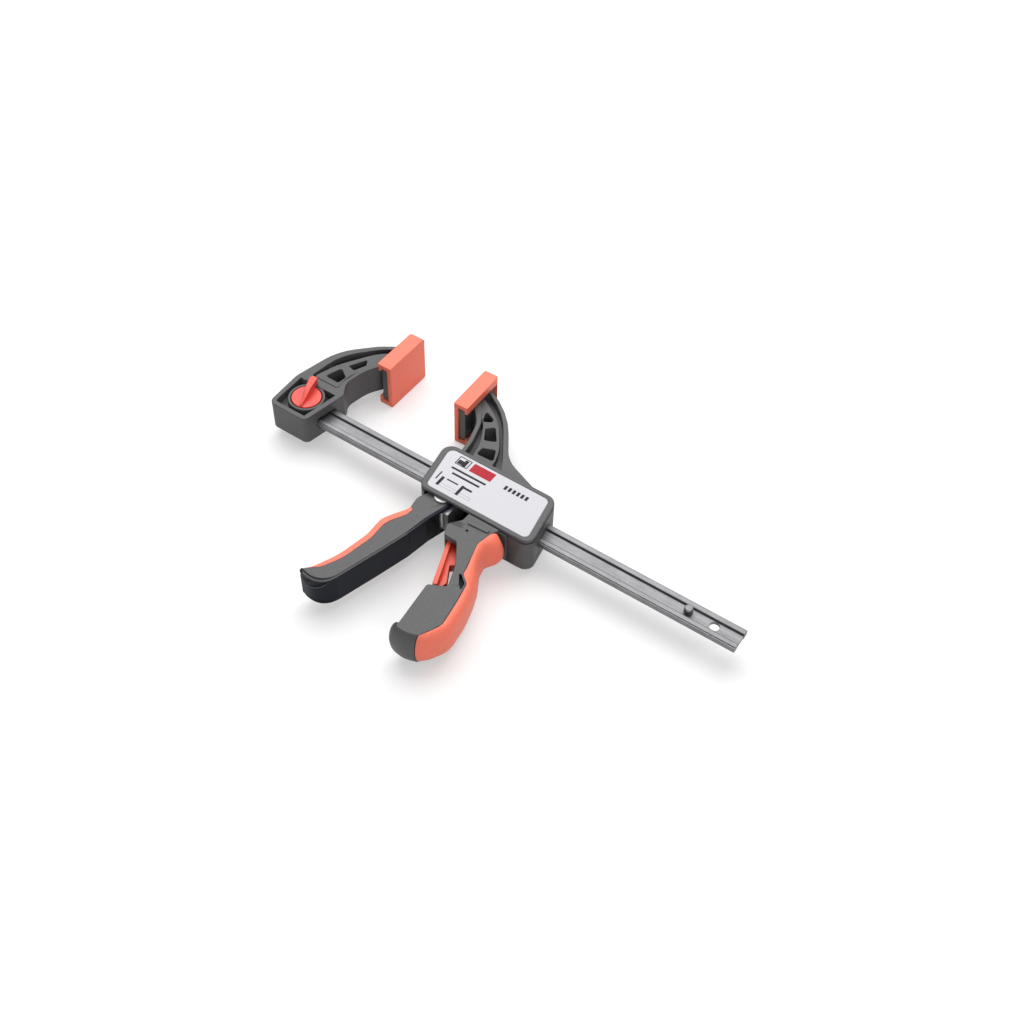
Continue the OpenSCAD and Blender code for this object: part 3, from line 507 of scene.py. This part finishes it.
def stretched(tree, place, scale, rotation=(0, 0, 0)):
    made = add_node(tree, "ShaderNodeMapping")
    made.inputs["Scale"].default_value = scale
    made.inputs["Rotation"].default_value = rotation
    tree.links.new(place, made.inputs["Vector"])
    return made.outputs[0]


def shaded(tree, colour, strength):
    made = add_node(tree, "ShaderNodeVectorMath", operation="SCALE")
    tree.links.new(colour, made.inputs[0])
    tree.links.new(strength, made.inputs["Scale"])
    return made.outputs[0]


def surface_group(name, base, numbers):
    """A group that takes a base colour and numbers, and is to put out a whole surface."""
    group = bpy.data.node_groups.new(name, "ShaderNodeTree")
    taken = group.interface.new_socket(name="Base", in_out="INPUT",
                                       socket_type="NodeSocketColor")
    taken.default_value = (base, base, base, 1)
    for label, value in numbers.items():
        taken = group.interface.new_socket(name=label, in_out="INPUT",
                                           socket_type="NodeSocketFloat")
        taken.default_value = value
    for label, kind in (("Color", "NodeSocketColor"), ("Roughness", "NodeSocketFloat"),
                        ("Height", "NodeSocketFloat")):
        group.interface.new_socket(name=label, in_out="OUTPUT", socket_type=kind)
    given = add_node(group, "NodeGroupInput")
    out = add_node(group, "NodeGroupOutput")
    place = add_node(group, "ShaderNodeTexCoord").outputs["Object"]
    return group, given, out, place


# Noise scales of moulded plastic, and what each noise does to its shade, gloss and height
CLOUDS, MOTTLES, SCRATCHES = 70, 420, 260
SCRATCH_SCALE, SCRATCH_TURN = (1, 4, 2), (0, 0, 0.6)
SCRATCH_FROM, SCRATCH_FULL = 0.62, 0.74
SCRATCH_PALE = (0.55, 0.55, 0.56)
SCRATCH_ROUGH = 0.08
MOTTLE_SHADE = 1.6
GRAIN_SHADE = 0.35
CLOUD_ROUGH = 0.14
CLOUD_HEIGHT = 0.3


def moulded_surface_group():
    """Fine spark-eroded grain, a cloudy drift of shade, and pale scuffs."""
    group, given, out, place = surface_group(
        "moulded_surface", 0.1,
        {"Grain Size": 0.4 * MM, "Drift": 0.12, "Scuffs": 0.15, "Rough": 0.55})
    grain_scale = calculate(group, "DIVIDE", 1.0, given.outputs["Grain Size"])
    grain = noise(group, place, grain_scale, 1.5)
    cloud = noise(group, place, CLOUDS, 4, 0.6)
    mottle = noise(group, place, MOTTLES, 3, 0.65)
    drawn_out = stretched(group, place, SCRATCH_SCALE, SCRATCH_TURN)
    scratch = spread(group, noise(group, drawn_out, SCRATCHES, 5, 0.7),
                     SCRATCH_FROM, SCRATCH_FULL, 0, 1)
    drift = given.outputs["Drift"]
    shade = swayed(group, cloud, drift, 1.0)
    shade = swayed(group, mottle, calculate(group, "MULTIPLY", drift, MOTTLE_SHADE), shade)
    shade = swayed(group, grain, GRAIN_SHADE, shade)
    scuffed = mixed(group, calculate(group, "MULTIPLY", scratch, given.outputs["Scuffs"]),
                    shaded(group, given.outputs["Base"], shade), SCRATCH_PALE)
    group.links.new(scuffed, out.inputs["Color"])
    dull = calculate(group, "SUBTRACT", given.outputs["Rough"], CLOUD_ROUGH / 2)
    dull = calculate(group, "MULTIPLY_ADD", cloud, CLOUD_ROUGH, dull)
    dull = calculate(group, "MULTIPLY_ADD", scratch, SCRATCH_ROUGH, dull)
    group.links.new(dull, out.inputs["Roughness"])
    height = calculate(group, "MULTIPLY_ADD", cloud, CLOUD_HEIGHT, grain)
    group.links.new(height, out.inputs["Height"])
    return group


MOULDED = moulded_surface_group()


def principled(name):
    material, tree = blank_material(name)
    shader = add_node(tree, "ShaderNodeBsdfPrincipled")
    linked(tree, "ShaderNodeOutputMaterial", shader.outputs[0])
    return material, tree, shader


EDGE_GLEAM = 0.4 * MM


def bumped(tree, shader, height, depth):
    """The height as a bump, on edges that gleam as if they were slightly rounded."""
    bump = add_node(tree, "ShaderNodeBump")
    bump.inputs["Distance"].default_value = depth
    tree.links.new(height, bump.inputs["Height"])
    edge = add_node(tree, "ShaderNodeBevel", samples=4)
    edge.inputs["Radius"].default_value = EDGE_GLEAM
    tree.links.new(edge.outputs[0], bump.inputs["Normal"])
    tree.links.new(bump.outputs[0], shader.inputs["Normal"])


def surfaced(name, group, base, numbers, depth):
    """A material whose colour, gloss and bump come from a surface group."""
    material, tree, shader = principled(name)
    surface = add_node(tree, "ShaderNodeGroup", node_tree=group)
    surface.inputs["Base"].default_value = (*base, 1)
    for socket, value in numbers.items():
        surface.inputs[socket].default_value = value
    tree.links.new(surface.outputs["Color"], shader.inputs["Base Color"])
    tree.links.new(surface.outputs["Roughness"], shader.inputs["Roughness"])
    bumped(tree, shader, surface.outputs["Height"], depth)
    return material, tree, surface, shader


def moulded_plastic(name, base, rough, grain=0.4 * MM, drift=0.3, scuffs=0.10,
                    depth=0.03 * MM):
    numbers = {"Grain Size": grain, "Drift": drift, "Scuffs": scuffs, "Rough": rough}
    material, _, _, shader = surfaced(name, MOULDED, base, numbers, depth)
    return material, shader


GREY = (0.070, 0.070, 0.073)
grey_plastic, _ = moulded_plastic("grey_nylon", GREY, 0.5)

stand_for(softened("fixed_jaw_moulding", "fixed_jaw"), "fixed_jaw", grey_plastic)

# ---- Bar ----
# Cold-drawn steel flat with a groove rolled into each face. Drawing left it full of fine
# streaks along its length, tumbling dulled it, and painted shade darkens the groove's corners.
BAR_EDGE = 0.3 * MM
BAR_MIDDLE = (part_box("bar")[0].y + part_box("bar")[1].y) / 2
GROOVE_HALF = 4.2 * MM
BAR_STEEL = (0.205, 0.205, 0.212)
# The near-black of the painted shade along the groove's edges
GROOVE_SHADE_DARK = (0.03, 0.03, 0.033)
# How far from the groove's edge the painted shade begins to thin and ends, and how dense it is
GROOVE_SHADE_FROM, GROOVE_SHADE_TO, GROOVE_SHADE_DENSE = 0.1 * MM, 1.0 * MM, 0.85

# Noise scales of drawn steel, and what each noise does to its shade, gloss and height
STREAKS, BROAD_STREAKS, GRIT, CLOUDING = 2600, 420, 1500, 90
STREAK_SCALE = (0.04, 1, 1)
BROAD_SHADE, CLOUD_SHADE = 0.5, 0.5
NOISE_LOW, NOISE_HIGH = 0.3, 0.7
STEEL_GLOSSY, STEEL_DULL = 0.36, 0.58
GRIT_HEIGHT = 0.6
STEEL_DEPTH = 0.02 * MM
STEEL_METALLIC = 0.85


def drawn_steel_group():
    """Streaks along X, grey speckle and a drift of shade, for drawn or punched steel."""
    group, given, out, place = surface_group(
        "drawn_steel", 0.3, {"Streaks": 0.3, "Speckle": 0.3})
    along = stretched(group, place, STREAK_SCALE)
    streak = noise(group, along, STREAKS, 3, 0.6)
    broad = noise(group, along, BROAD_STREAKS, 2)
    grit = noise(group, place, GRIT, 3, 0.7)
    cloud = noise(group, place, CLOUDING, 3, 0.6)
    shade = swayed(group, streak, given.outputs["Streaks"], 1.0)
    shade = swayed(group, broad, BROAD_SHADE, shade)
    shade = swayed(group, grit, given.outputs["Speckle"], shade)
    shade = swayed(group, cloud, CLOUD_SHADE, shade)
    group.links.new(shaded(group, given.outputs["Base"], shade), out.inputs["Color"])
    group.links.new(spread(group, grit, NOISE_LOW, NOISE_HIGH, STEEL_GLOSSY, STEEL_DULL),
                    out.inputs["Roughness"])
    height = calculate(group, "MULTIPLY_ADD", grit, GRIT_HEIGHT, streak)
    group.links.new(height, out.inputs["Height"])
    return group


DRAWN = drawn_steel_group()


def steel(name, base, streaks, speckle):
    numbers = {"Streaks": streaks, "Speckle": speckle}
    material, tree, surface, shader = surfaced(name, DRAWN, base, numbers, STEEL_DEPTH)
    shader.inputs["Metallic"].default_value = STEEL_METALLIC
    return material, tree, surface, shader


def place_and_axes(tree):
    place = add_node(tree, "ShaderNodeTexCoord").outputs["Object"]
    return place, linked(tree, "ShaderNodeSeparateXYZ", place)


def bar_material():
    """Drawn steel with painted shade along both edges of the groove."""
    material, tree, surface, shader = steel("drawn_bar_steel", BAR_STEEL, 0.6, 0.9)
    _, axes = place_and_axes(tree)
    off_middle = calculate(tree, "SUBTRACT", axes.outputs["Y"], BAR_MIDDLE)
    off_middle = calculate(tree, "ABSOLUTE", off_middle)
    off_edge = calculate(tree, "SUBTRACT", off_middle, GROOVE_HALF)
    off_edge = calculate(tree, "ABSOLUTE", off_edge)
    # Painted shade: a near-black mask along both edges of the groove
    scale = spread(tree, off_edge, GROOVE_SHADE_FROM, GROOVE_SHADE_TO, GROOVE_SHADE_DENSE, 0.0)
    colour = mixed(tree, scale, surface.outputs["Color"], GROOVE_SHADE_DARK)
    tree.links.new(colour, shader.inputs["Base Color"])
    return material


stand_for(softened("drawn_bar", "bar", BAR_EDGE), "bar", bar_material())

pin_steel = steel("turned_pin_steel", (0.20, 0.20, 0.205), 0.2, 0.3)[0]
zinc = steel("zinc_plated_steel", (0.62, 0.62, 0.63), 0.1, 0.2)[0]
plate_steel = steel("punched_plate_steel", (0.35, 0.35, 0.36), 0.3, 0.4)[0]


def dress(node, material):
    for slot in nodes[node].material_slots:
        slot.link = "OBJECT"
        slot.material = material


dress("stop_pin", pin_steel)

# ---- Knob ----
# A hard orange moulding: a disc with a finger grip that rises out of it. It turns on a plated
# steel spindle in the fixed jaw, over a washer, and a snap ring holds the spindle.
KNOB_EDGE = 0.4 * MM
FINE_STEPS = 3
# The knob's orange is darker and redder than the trigger's, as painted shade of the recess it
# sits in
KNOB_ORANGE_SHADED = (0.72, 0.062, 0.038)
ORANGE_GRAIN = 0.5 * MM
ORANGE_DRIFT = 0.12
HARD_DEPTH = 0.012 * MM
# Light that enters the orange plastic comes out again near by, and red goes furthest
GLOW_SHARE, GLOW_SPREAD, GLOW_REACH = 0.25, (1.0, 0.2, 0.12), 3 * MM


def orange_plastic(name, base, rough, depth):
    material, shader = moulded_plastic(name, base, rough, grain=ORANGE_GRAIN,
                                       drift=ORANGE_DRIFT, scuffs=0.0, depth=depth)
    shader.inputs["Subsurface Weight"].default_value = GLOW_SHARE
    shader.inputs["Subsurface Radius"].default_value = GLOW_SPREAD
    shader.inputs["Subsurface Scale"].default_value = GLOW_REACH
    return material


knob_orange_shaded = orange_plastic("orange_knob_painted_shade", KNOB_ORANGE_SHADED, 0.38, HARD_DEPTH)
stand_for(softened("lock_knob", "knob", KNOB_EDGE, FINE_STEPS), "knob", knob_orange_shaded)
for node in ("lock_spindle", "spindle_ring", "knob_washer"):
    dress(node, zinc)

# ---- Pads ----
# Soft rubber-like channels, each one moulding. They slide onto the jaw plates from the tips
# and are held there by their own grip.
PAD_EDGE = 0.6 * MM
ORANGE_SOFT = (0.92, 0.19, 0.115)
SOFT_DEPTH = 0.02 * MM
orange_soft = orange_plastic("orange_soft_rubber", ORANGE_SOFT, 0.5, SOFT_DEPTH)
for side in ("fixed", "movable"):
    pad = softened(side + "_jaw_pad", side + "_pad", PAD_EDGE, FINE_STEPS)
    stand_for(pad, side + "_pad", orange_soft)

# ---- Carriage ----
# The sliding jaw's arm and its mechanism box are one moulding of the jaw's grey nylon. A cover
# with a raised rim closes the box, and four screws from the other side hold it.
COVER_EDGE = 0.9 * MM
stand_for(softened("carriage_moulding", "carriage_body"), "carriage_body", grey_plastic)
cover = softened("cover_moulding", "housing_cover", COVER_EDGE, FINE_STEPS)
stand_for(cover, "housing_cover", grey_plastic)

# ---- Label ----
# A pale film glued in the cover's recess. It is printed with plain blocks, bars and ticks, and
# with a small drawing of two jaws on a bar.
FILM, FILM_CLOUDED = (0.60, 0.60, 0.63), (0.55, 0.55, 0.58)
FILM_CLOUDS, FILM_CLOUD_SHARE = 60, 0.10
FILM_GLOSSY, FILM_DULL = 0.30, 0.38
FILM_SPECULAR = 0.15
FILM_DEPTH = 0.02 * MM
INK_RED = (0.42, 0.008, 0.022)
INK_DARK = (0.008, 0.008, 0.010)
# Each block is its middle and its half sizes, in millimetres
RED_BLOCKS = [(109.6, -60.2, 8.9, 4.0)]
DARK_BLOCKS = [
    (93.6, -63.6, 4.8, 0.35), (93.6, -56.4, 4.8, 0.35), (88.9, -60.0, 0.35, 3.9),
    (98.3, -60.0, 0.35, 3.9), (91.9, -61.0, 2.2, 2.0), (95.3, -60.4, 1.4, 3.2),
    (103.4, -68.0, 14.2, 0.85), (104.0, -72.2, 11.3, 0.85),
    (90.2, -82.6, 1.15, 4.3), (106.2, -82.2, 1.15, 4.8), (110.2, -78.7, 3.6, 0.9),
    (97.8, -78.8, 4.6, 0.6), (86.4, -79.0, 0.5, 3.9)]
HAIR_LINES = [(104.0, -84.0, 12.6, 0.17), (104.0, -86.3, 12.6, 0.17),
              (116.6, -85.15, 0.17, 1.2)]
HAIR_SHADE = 0.45
# The ticks are one block cut into strokes: their pitch, and the share of it that is printed
TICKS = [(138.2, -62.2, 10.2, 1.9)]
TICK_PITCH, TICK_SHARE = 3.4 * MM, 0.62


def printed(tree, axes, blocks):
    """A mask of upright blocks in the label's plane."""
    whole = 0.0
    for x, y, half_x, half_y in blocks:
        across = calculate(tree, "COMPARE", axes.outputs["X"], x * MM, half_x * MM)
        along = calculate(tree, "COMPARE", axes.outputs["Y"], y * MM, half_y * MM)
        whole = calculate(tree, "MAXIMUM", calculate(tree, "MULTIPLY", across, along), whole)
    return whole


def label_material():
    material, tree, shader = principled("printed_label_film")
    shader.inputs["Specular IOR Level"].default_value = FILM_SPECULAR
    place, axes = place_and_axes(tree)
    cloud = noise(tree, place, FILM_CLOUDS, 3)
    clouded = spread(tree, cloud, NOISE_LOW, NOISE_HIGH, 0.0, FILM_CLOUD_SHARE)
    film = mixed(tree, clouded, FILM, FILM_CLOUDED)
    red = mixed(tree, printed(tree, axes, RED_BLOCKS), film, INK_RED)
    dark = mixed(tree, printed(tree, axes, DARK_BLOCKS), red, INK_DARK)
    hairs = calculate(tree, "MULTIPLY", printed(tree, axes, HAIR_LINES), HAIR_SHADE)
    fine = mixed(tree, hairs, dark, INK_DARK)
    step = calculate(tree, "DIVIDE", axes.outputs["X"], TICK_PITCH)
    strokes = calculate(tree, "LESS_THAN", calculate(tree, "FRACT", step), TICK_SHARE)
    ticks = calculate(tree, "MULTIPLY", printed(tree, axes, TICKS), strokes)
    tree.links.new(mixed(tree, ticks, fine, INK_DARK), shader.inputs["Base Color"])
    tree.links.new(spread(tree, cloud, NOISE_LOW, NOISE_HIGH, FILM_GLOSSY, FILM_DULL),
                   shader.inputs["Roughness"])
    bumped(tree, shader, cloud, FILM_DEPTH)
    return material


dress("label_plate", label_material())

# ---- Squeeze lever ----
# A moulded channel of grey nylon, closed on the palm's side, with a soft inlay under the
# fingers. It turns on a rivet, and a pin between its cheeks pushes the drive plate.
LEVER_EDGE = 0.6 * MM
# Near-black of the lever's side band, used also as painted shade in the groove beside its bead
# and in the grip's drain slot
BAND_AND_SHADE_DARK = (0.008, 0.010, 0.017)
BAND_SPECULAR = 0.10
# In millimetres: half the lever's thickness, and how much of it is the strip under the bead.
# Faces that look this squarely up or down, and lie lower, are its broad faces.
LEVER_HALF, STRIP_DEPTH = 11.5, 0.2
BROAD_FACING = 0.7
band_and_shade_plastic, band_and_shade_shader = moulded_plastic("dark_side_band_and_painted_shade", BAND_AND_SHADE_DARK, 0.42, scuffs=0.02)
band_and_shade_shader.inputs["Specular IOR Level"].default_value = BAND_SPECULAR


def squeeze_lever():
    """Grained broad faces, a smooth dark band round the side, and the strip under the bead
    painted dark as painted shade of the groove beside the bead.
    """
    lever = softened("squeeze_lever_moulding", "squeeze_lever", LEVER_EDGE, FINE_STEPS)
    stand_for(lever, "squeeze_lever", grey_plastic)
    lever.data.materials.append(band_and_shade_plastic)
    # Side faces take the dark band; the up-facing strip under the bead takes it as painted
    # shade
    for face in lever.data.polygons:
        lower = abs(face.center.z) < (LEVER_HALF - STRIP_DEPTH) * MM
        face.material_index = 0 if abs(face.normal.z) > BROAD_FACING and lower else 1


squeeze_lever()

# The carriage's own frame starts at CARRIAGE_AT. The lever turns on PIVOT in it and leans by
# LEAN. A path on the lever has places in millimetres, down along its grip and across it, each
# with the radius of its corner.
CARRIAGE_AT = Vector((56.2, -71.5, 0))
PIVOT = Vector((42.1, -20))
LEAN = math.radians(16.4)
TURN_STEP = 6
CREASE = math.radians(40)


def rounded_path(corners):
    """The points of a path whose corners are rounded, each turn in small equal steps."""
    path = [Vector(corners[0][:2])]
    for before, here, after in zip(corners, corners[1:], corners[2:]):
        at = Vector(here[:2])
        to_before = (Vector(before[:2]) - at).normalized()
        to_after = (Vector(after[:2]) - at).normalized()
        turn = math.pi - to_before.angle(to_after)
        cut = here[2] * math.tan(turn / 2)
        start, end = at + to_before * cut, at + to_after * cut
        steps = max(2, math.ceil(math.degrees(turn) / TURN_STEP))
        for i in range(steps + 1):
            share = i / steps
            path.append(start.lerp(at, share).lerp(at.lerp(end, share), share))
    path.append(Vector(corners[-1][:2]))
    return path


def on_lever(along, over):
    axis = Vector((-math.sin(LEAN), -math.cos(LEAN)))
    return PIVOT + axis * along + Vector((-axis.y, axis.x)) * over


def half_turn(steps):
    return [math.pi * j / steps for j in range(steps + 1)]


def swept(name, rings):
    """A closed piece through rings of points, which are given in the carriage's frame."""
    shape = bmesh.new()
    loops = []
    for ring in rings:
        corners = [shape.verts.new((Vector(spot) + CARRIAGE_AT) * MM) for spot in ring]
        loops.append([shape.edges.new((a, b))
                      for a, b in zip(corners, corners[1:] + corners[:1])])
    for a, b in zip(loops, loops[1:]):
        bmesh.ops.bridge_loops(shape, edges=a + b)
    bmesh.ops.holes_fill(shape, edges=loops[0] + loops[-1], sides=0)
    bmesh.ops.recalc_face_normals(shape, faces=shape.faces)
    for face in shape.faces:
        face.smooth = True
    for edge in shape.edges:
        if len(edge.link_faces) == 2 and edge.calc_face_angle(0) > CREASE:
            edge.smooth = False
    return new_piece(name, shape)


def join_lever(piece):
    piece.data.materials.append(grey_plastic)
    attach(piece, body_of("squeeze_lever"))


# The bead: a half-round rib along both edges of the grip's side and round the tip. It rises
# out of the lever over the first few points of its path, and ends sooner.
BEAD_PATH = [(109.0, -6.4, 0), (110.4, -3.8, 4), (108.8, 13.4, 17), (64, 13, 80),
             (38, 12.3, 30), (14, 9.8, 0)]
BEAD_HALF, BEAD_HIGH, BEAD_IN = 0.72, 0.55, 0.95
BEAD_RISE, BEAD_FALL, BEAD_TIP = 3, 2, 0.1
BEAD_FOOT = LEVER_HALF - STRIP_DEPTH
BEAD_STEPS = 6


def lever_bead(name, side):
    path = [on_lever(*p) for p in rounded_path(BEAD_PATH)]
    last = len(path) - 1
    rings = []
    for i, at in enumerate(path):
        ahead = (path[min(i + 1, last)] - path[max(i - 1, 0)]).normalized()
        inward = Vector((-ahead.y, ahead.x))
        full = min(1, i / BEAD_RISE, (last - i) / BEAD_FALL)
        taper = full * (1 - BEAD_TIP) + BEAD_TIP
        ring = []
        for angle in half_turn(BEAD_STEPS):
            spot = at + inward * (BEAD_IN + BEAD_HALF * taper * math.cos(angle))
            high = BEAD_FOOT + (BEAD_HIGH * taper + STRIP_DEPTH) * math.sin(angle)
            ring.append((spot.x, spot.y, side * high))
        rings.append(ring)
    join_lever(swept(name, rings))


lever_bead("lever_bead_upper", 1)
lever_bead("lever_bead_lower", -1)

# The lip under the hollow in the tip: it dips from the finger's side and rises to the bead.
# Its heights are from the lever's middle, and its dip is a sine whose course is bent a little.
LIP_PATH = [(110.1, -5.6, 0), (108.8, 13.4, 17), (64, 13, 80), (38, 12.3, 0)]
LIP_LENGTH, LIP_STEPS, LIP_AHEAD = 22.5, 28, 0.4
LIP_TOP, LIP_DIP, LIP_HALF = 10.4, 7.4, 0.42
LIP_START, LIP_BENT = 0.17, 0.8
LIP_RISE, LIP_FALL, LIP_TIP = 6, 5, 0.12
# How far it stands out and how deep it is sunk, as shares of its half width
LIP_OUT, LIP_SUNK = 1.5, 0.6
NO_LENGTH = 1e-9


def lengths_along(path):
    total = [0.0]
    for a, b in zip(path, path[1:]):
        total.append(total[-1] + (b - a).length)
    return total


def point_at(path, total, far):
    for i in range(len(path) - 1):
        if total[i + 1] >= far:
            share = (far - total[i]) / max(total[i + 1] - total[i], NO_LENGTH)
            return path[i].lerp(path[i + 1], share)
    return path[-1]


def tip_lip():
    path = [on_lever(*p) for p in rounded_path(LIP_PATH)]
    total = lengths_along(path)
    rings = []
    for i in range(LIP_STEPS + 1):
        share = i / LIP_STEPS
        at = point_at(path, total, share * LIP_LENGTH)
        ahead = point_at(path, total, share * LIP_LENGTH + LIP_AHEAD) - at
        outward = Vector((ahead.y, -ahead.x)).normalized()
        dip = (LIP_START + (1 - LIP_START) * share) ** LIP_BENT
        middle = LIP_TOP - LIP_DIP * math.sin(math.pi * dip)
        full = min(1, LIP_RISE * share, LIP_FALL * (1 - share))
        half = LIP_HALF * (LIP_TIP + (1 - LIP_TIP) * full)
        ring = []
        for angle in half_turn(BEAD_STEPS):
            spot = at + outward * (half * (LIP_OUT * math.sin(angle) - LIP_SUNK))
            ring.append((spot.x, spot.y, middle + half * math.cos(angle)))
        rings.append(ring)
    join_lever(swept("lever_tip_lip", rings))


tip_lip()
inlay = softened("finger_inlay", "lever_inlay", LEVER_EDGE, FINE_STEPS)
stand_for(inlay, "lever_inlay", orange_soft)
dress("push_pin", zinc)
dress("lever_rivet", zinc)

# ---- Pistol grip ----
# A hard grey core with a soft orange back and its thumb rest moulded over it, and a bumper
# over the tip. The core's upper end sits in the mechanism box, held by two of the screws.
# The box, in the carriage's frame in millimetres, whose core faces are painted near-black as
# the drain slot's painted shade
SLOT_LOW, SLOT_HIGH = Vector((91.0, -77.9, 10.4)), Vector((99.6, -67.0, 13.5))


def grip_core():
    """The core; the walls and floor of its drain slot are painted near-black as painted deep
    shade.
    """
    core = softened("grip_core_moulding", "grip_core")
    stand_for(core, "grip_core", grey_plastic)
    core.data.materials.append(band_and_shade_plastic)
    for face in core.data.polygons:
        at = face.center / MM - CARRIAGE_AT
        # Painted shade: the slot's faces take the near-black band material
        if all(low < here < high for low, here, high in zip(SLOT_LOW, at, SLOT_HIGH)):
            face.material_index = 1


grip_core()

# Corners of the seam and of the back, from the thumb rest down: x, y, radius
SEAM = [(91.3, -24.9, 0), (88, -29.8, 3), (85.9, -41, 9), (92.1, -62, 12), (92.7, -66.4, 2),
        (99.5, -71.6, 4), (102.5, -86, 40), (105.8, -107, 12), (98.9, -121.4, 0)]
BACK = [(91.4, -25.0, 0), (94.9, -25.6, 3), (99.6, -27.4, 4.5), (98.9, -32.4, 4.2),
        (92.3, -38.8, 6.5), (94.4, -50, 22), (103.3, -64.8, 30), (109.8, -86, 60),
        (112.8, -107, 18), (105, -123, 15), (98.9, -126.2, 0)]
# Places across from each other on the seam and on the back, and how square the section is
ACROSS = [((91.3, -24.9), (91.4, -25.0), 2.0), ((89.6, -27.4), (95.8, -26.0), 2.0),
          ((88.2, -29.6), (98.8, -28.6), 2.0), ((87.2, -34), (98.4, -32.0), 2.0),
          ((86.6, -38), (95.2, -35.9), 2.1), ((87.2, -44), (92.9, -42.2), 2.3),
          ((90.2, -55), (97.2, -55), 2.5), ((93.2, -66.9), (104.2, -67), 2.6),
          ((99.8, -72.4), (106, -73), 2.7), ((102.5, -86), (109.4, -86), 2.8),
          ((104.9, -103), (112, -103), 2.6), ((98.9, -121.4), (98.9, -126.2), 1.9)]
GRIP_HALF, PALM_DIP, PALM_SECTIONS = 13.75, 0.30, 64
# The same for the bumper, from the seam's lower end round the tip
TIP_SEAM = [(98.5, -121.7, 0), (90, -125, 12), (82.6, -124.2, 1.5), (81.9, -119.6, 0)]
TIP_BACK = [(98.5, -126.4, 0), (92, -129.4, 25), (77.2, -128.2, 6.5), (77.5, -119.8, 0)]
TIP_ACROSS = [((98.5, -121.7), (98.5, -126.4), 1.9), ((92, -124), (91, -129.2), 1.75),
              ((86, -124.6), (83.4, -128.6), 1.75), ((82.9, -124.1), (78.6, -127.2), 1.75),
              ((81.9, -119.6), (77.5, -119.8), 2.0)]
BUMPER_HALF, BUMPER_SECTIONS = 14.4, 40
ROUND_STEPS = 22
SEAM_GAP = 0.3
# Shares of the path: where the first section lies, how long the dip is, where the tail starts
FIRST_SECTION, DIP_LENGTH, TAIL_FROM = 0.006, 0.10, 0.86
# How much of its depth and of its width the tail loses
TAIL_THINS, TAIL_NARROWS = 0.5, 0.22
SAME_SPOT = 1e-6


def place_of(path, total, spot):
    """How far along the path its nearest point to a spot lies."""
    best = None
    for i, (a, b) in enumerate(zip(path, path[1:])):
        if (b - a).length < SAME_SPOT:
            continue
        share = min(max((spot - a).dot(b - a) / (b - a).length_squared, 0), 1)
        gap = (a.lerp(b, share) - spot).length
        if best is None or gap < best[0]:
            best = (gap, total[i] + share * (b - a).length)
    return best[1]


def soft_back(name, seam_corners, back_corners, across, sections, half, dip=0, tail=0):
    """D-shaped sections from a seam round the back, joined along the two paths."""
    seam, back = rounded_path(seam_corners), rounded_path(back_corners)
    seam_far, back_far = lengths_along(seam), lengths_along(back)
    keys = [(place_of(seam, seam_far, Vector(a)), place_of(back, back_far, Vector(b)), square)
            for a, b, square in across]
    rings = []
    for i in range(sections + 1):
        share = FIRST_SECTION + (1 - FIRST_SECTION) * i / sections
        k = min(int(share * (len(keys) - 1)), len(keys) - 2)
        part = share * (len(keys) - 1) - k
        on_seam, on_back, square = (a + (b - a) * part for a, b in zip(keys[k], keys[k + 1]))
        inner, outer = point_at(seam, seam_far, on_seam), point_at(back, back_far, on_back)
        inner = inner + (outer - inner).normalized() * SEAM_GAP
        closing = tail * max(0, share - TAIL_FROM) ** 2 / (1 - TAIL_FROM) ** 2
        outer = inner.lerp(outer, 1 - TAIL_THINS * closing)
        dipped = 1 - dip * max(0, 1 - share / DIP_LENGTH) ** 2
        high = half * dipped * (1 - TAIL_NARROWS * closing)
        ring = []
        for angle in half_turn(ROUND_STEPS):
            up = math.copysign(abs(math.cos(angle)) ** (2 / square), math.cos(angle))
            spot = inner.lerp(outer, math.sin(angle) ** (2 / square))
            ring.append((spot.x, spot.y, up * high))
        rings.append(ring)
    return swept(name, rings)


palm = soft_back("palm_overmould", SEAM, BACK, ACROSS, PALM_SECTIONS, GRIP_HALF, dip=PALM_DIP)
stand_for(palm, "grip_overmould", orange_soft)
bumper = soft_back("tip_bumper", TIP_SEAM, TIP_BACK, TIP_ACROSS, BUMPER_SECTIONS, BUMPER_HALF,
                   tail=1)
stand_for(bumper, "grip_bumper", grey_plastic)

# ---- Release lever and the mechanism ----
# The trigger is a hard orange moulding on a steel pin. Inside, punched steel plates bite on
# the bar, pushed by zinc-plated springs, and plated screws hold the box together.
TRIGGER_EDGE = 0.4 * MM
TRIGGER_ORANGE = (0.88, 0.105, 0.055)
orange_trigger = orange_plastic("orange_nylon", TRIGGER_ORANGE, 0.42, HARD_DEPTH)
trigger = softened("trigger", "release_lever", TRIGGER_EDGE)
stand_for(trigger, "release_lever", orange_trigger)
for node in ("release_pin", "housing_screws", "drive_spring", "brake_spring"):
    dress(node, zinc)
for node in ("drive_plate", "brake_plate"):
    dress(node, plate_steel)
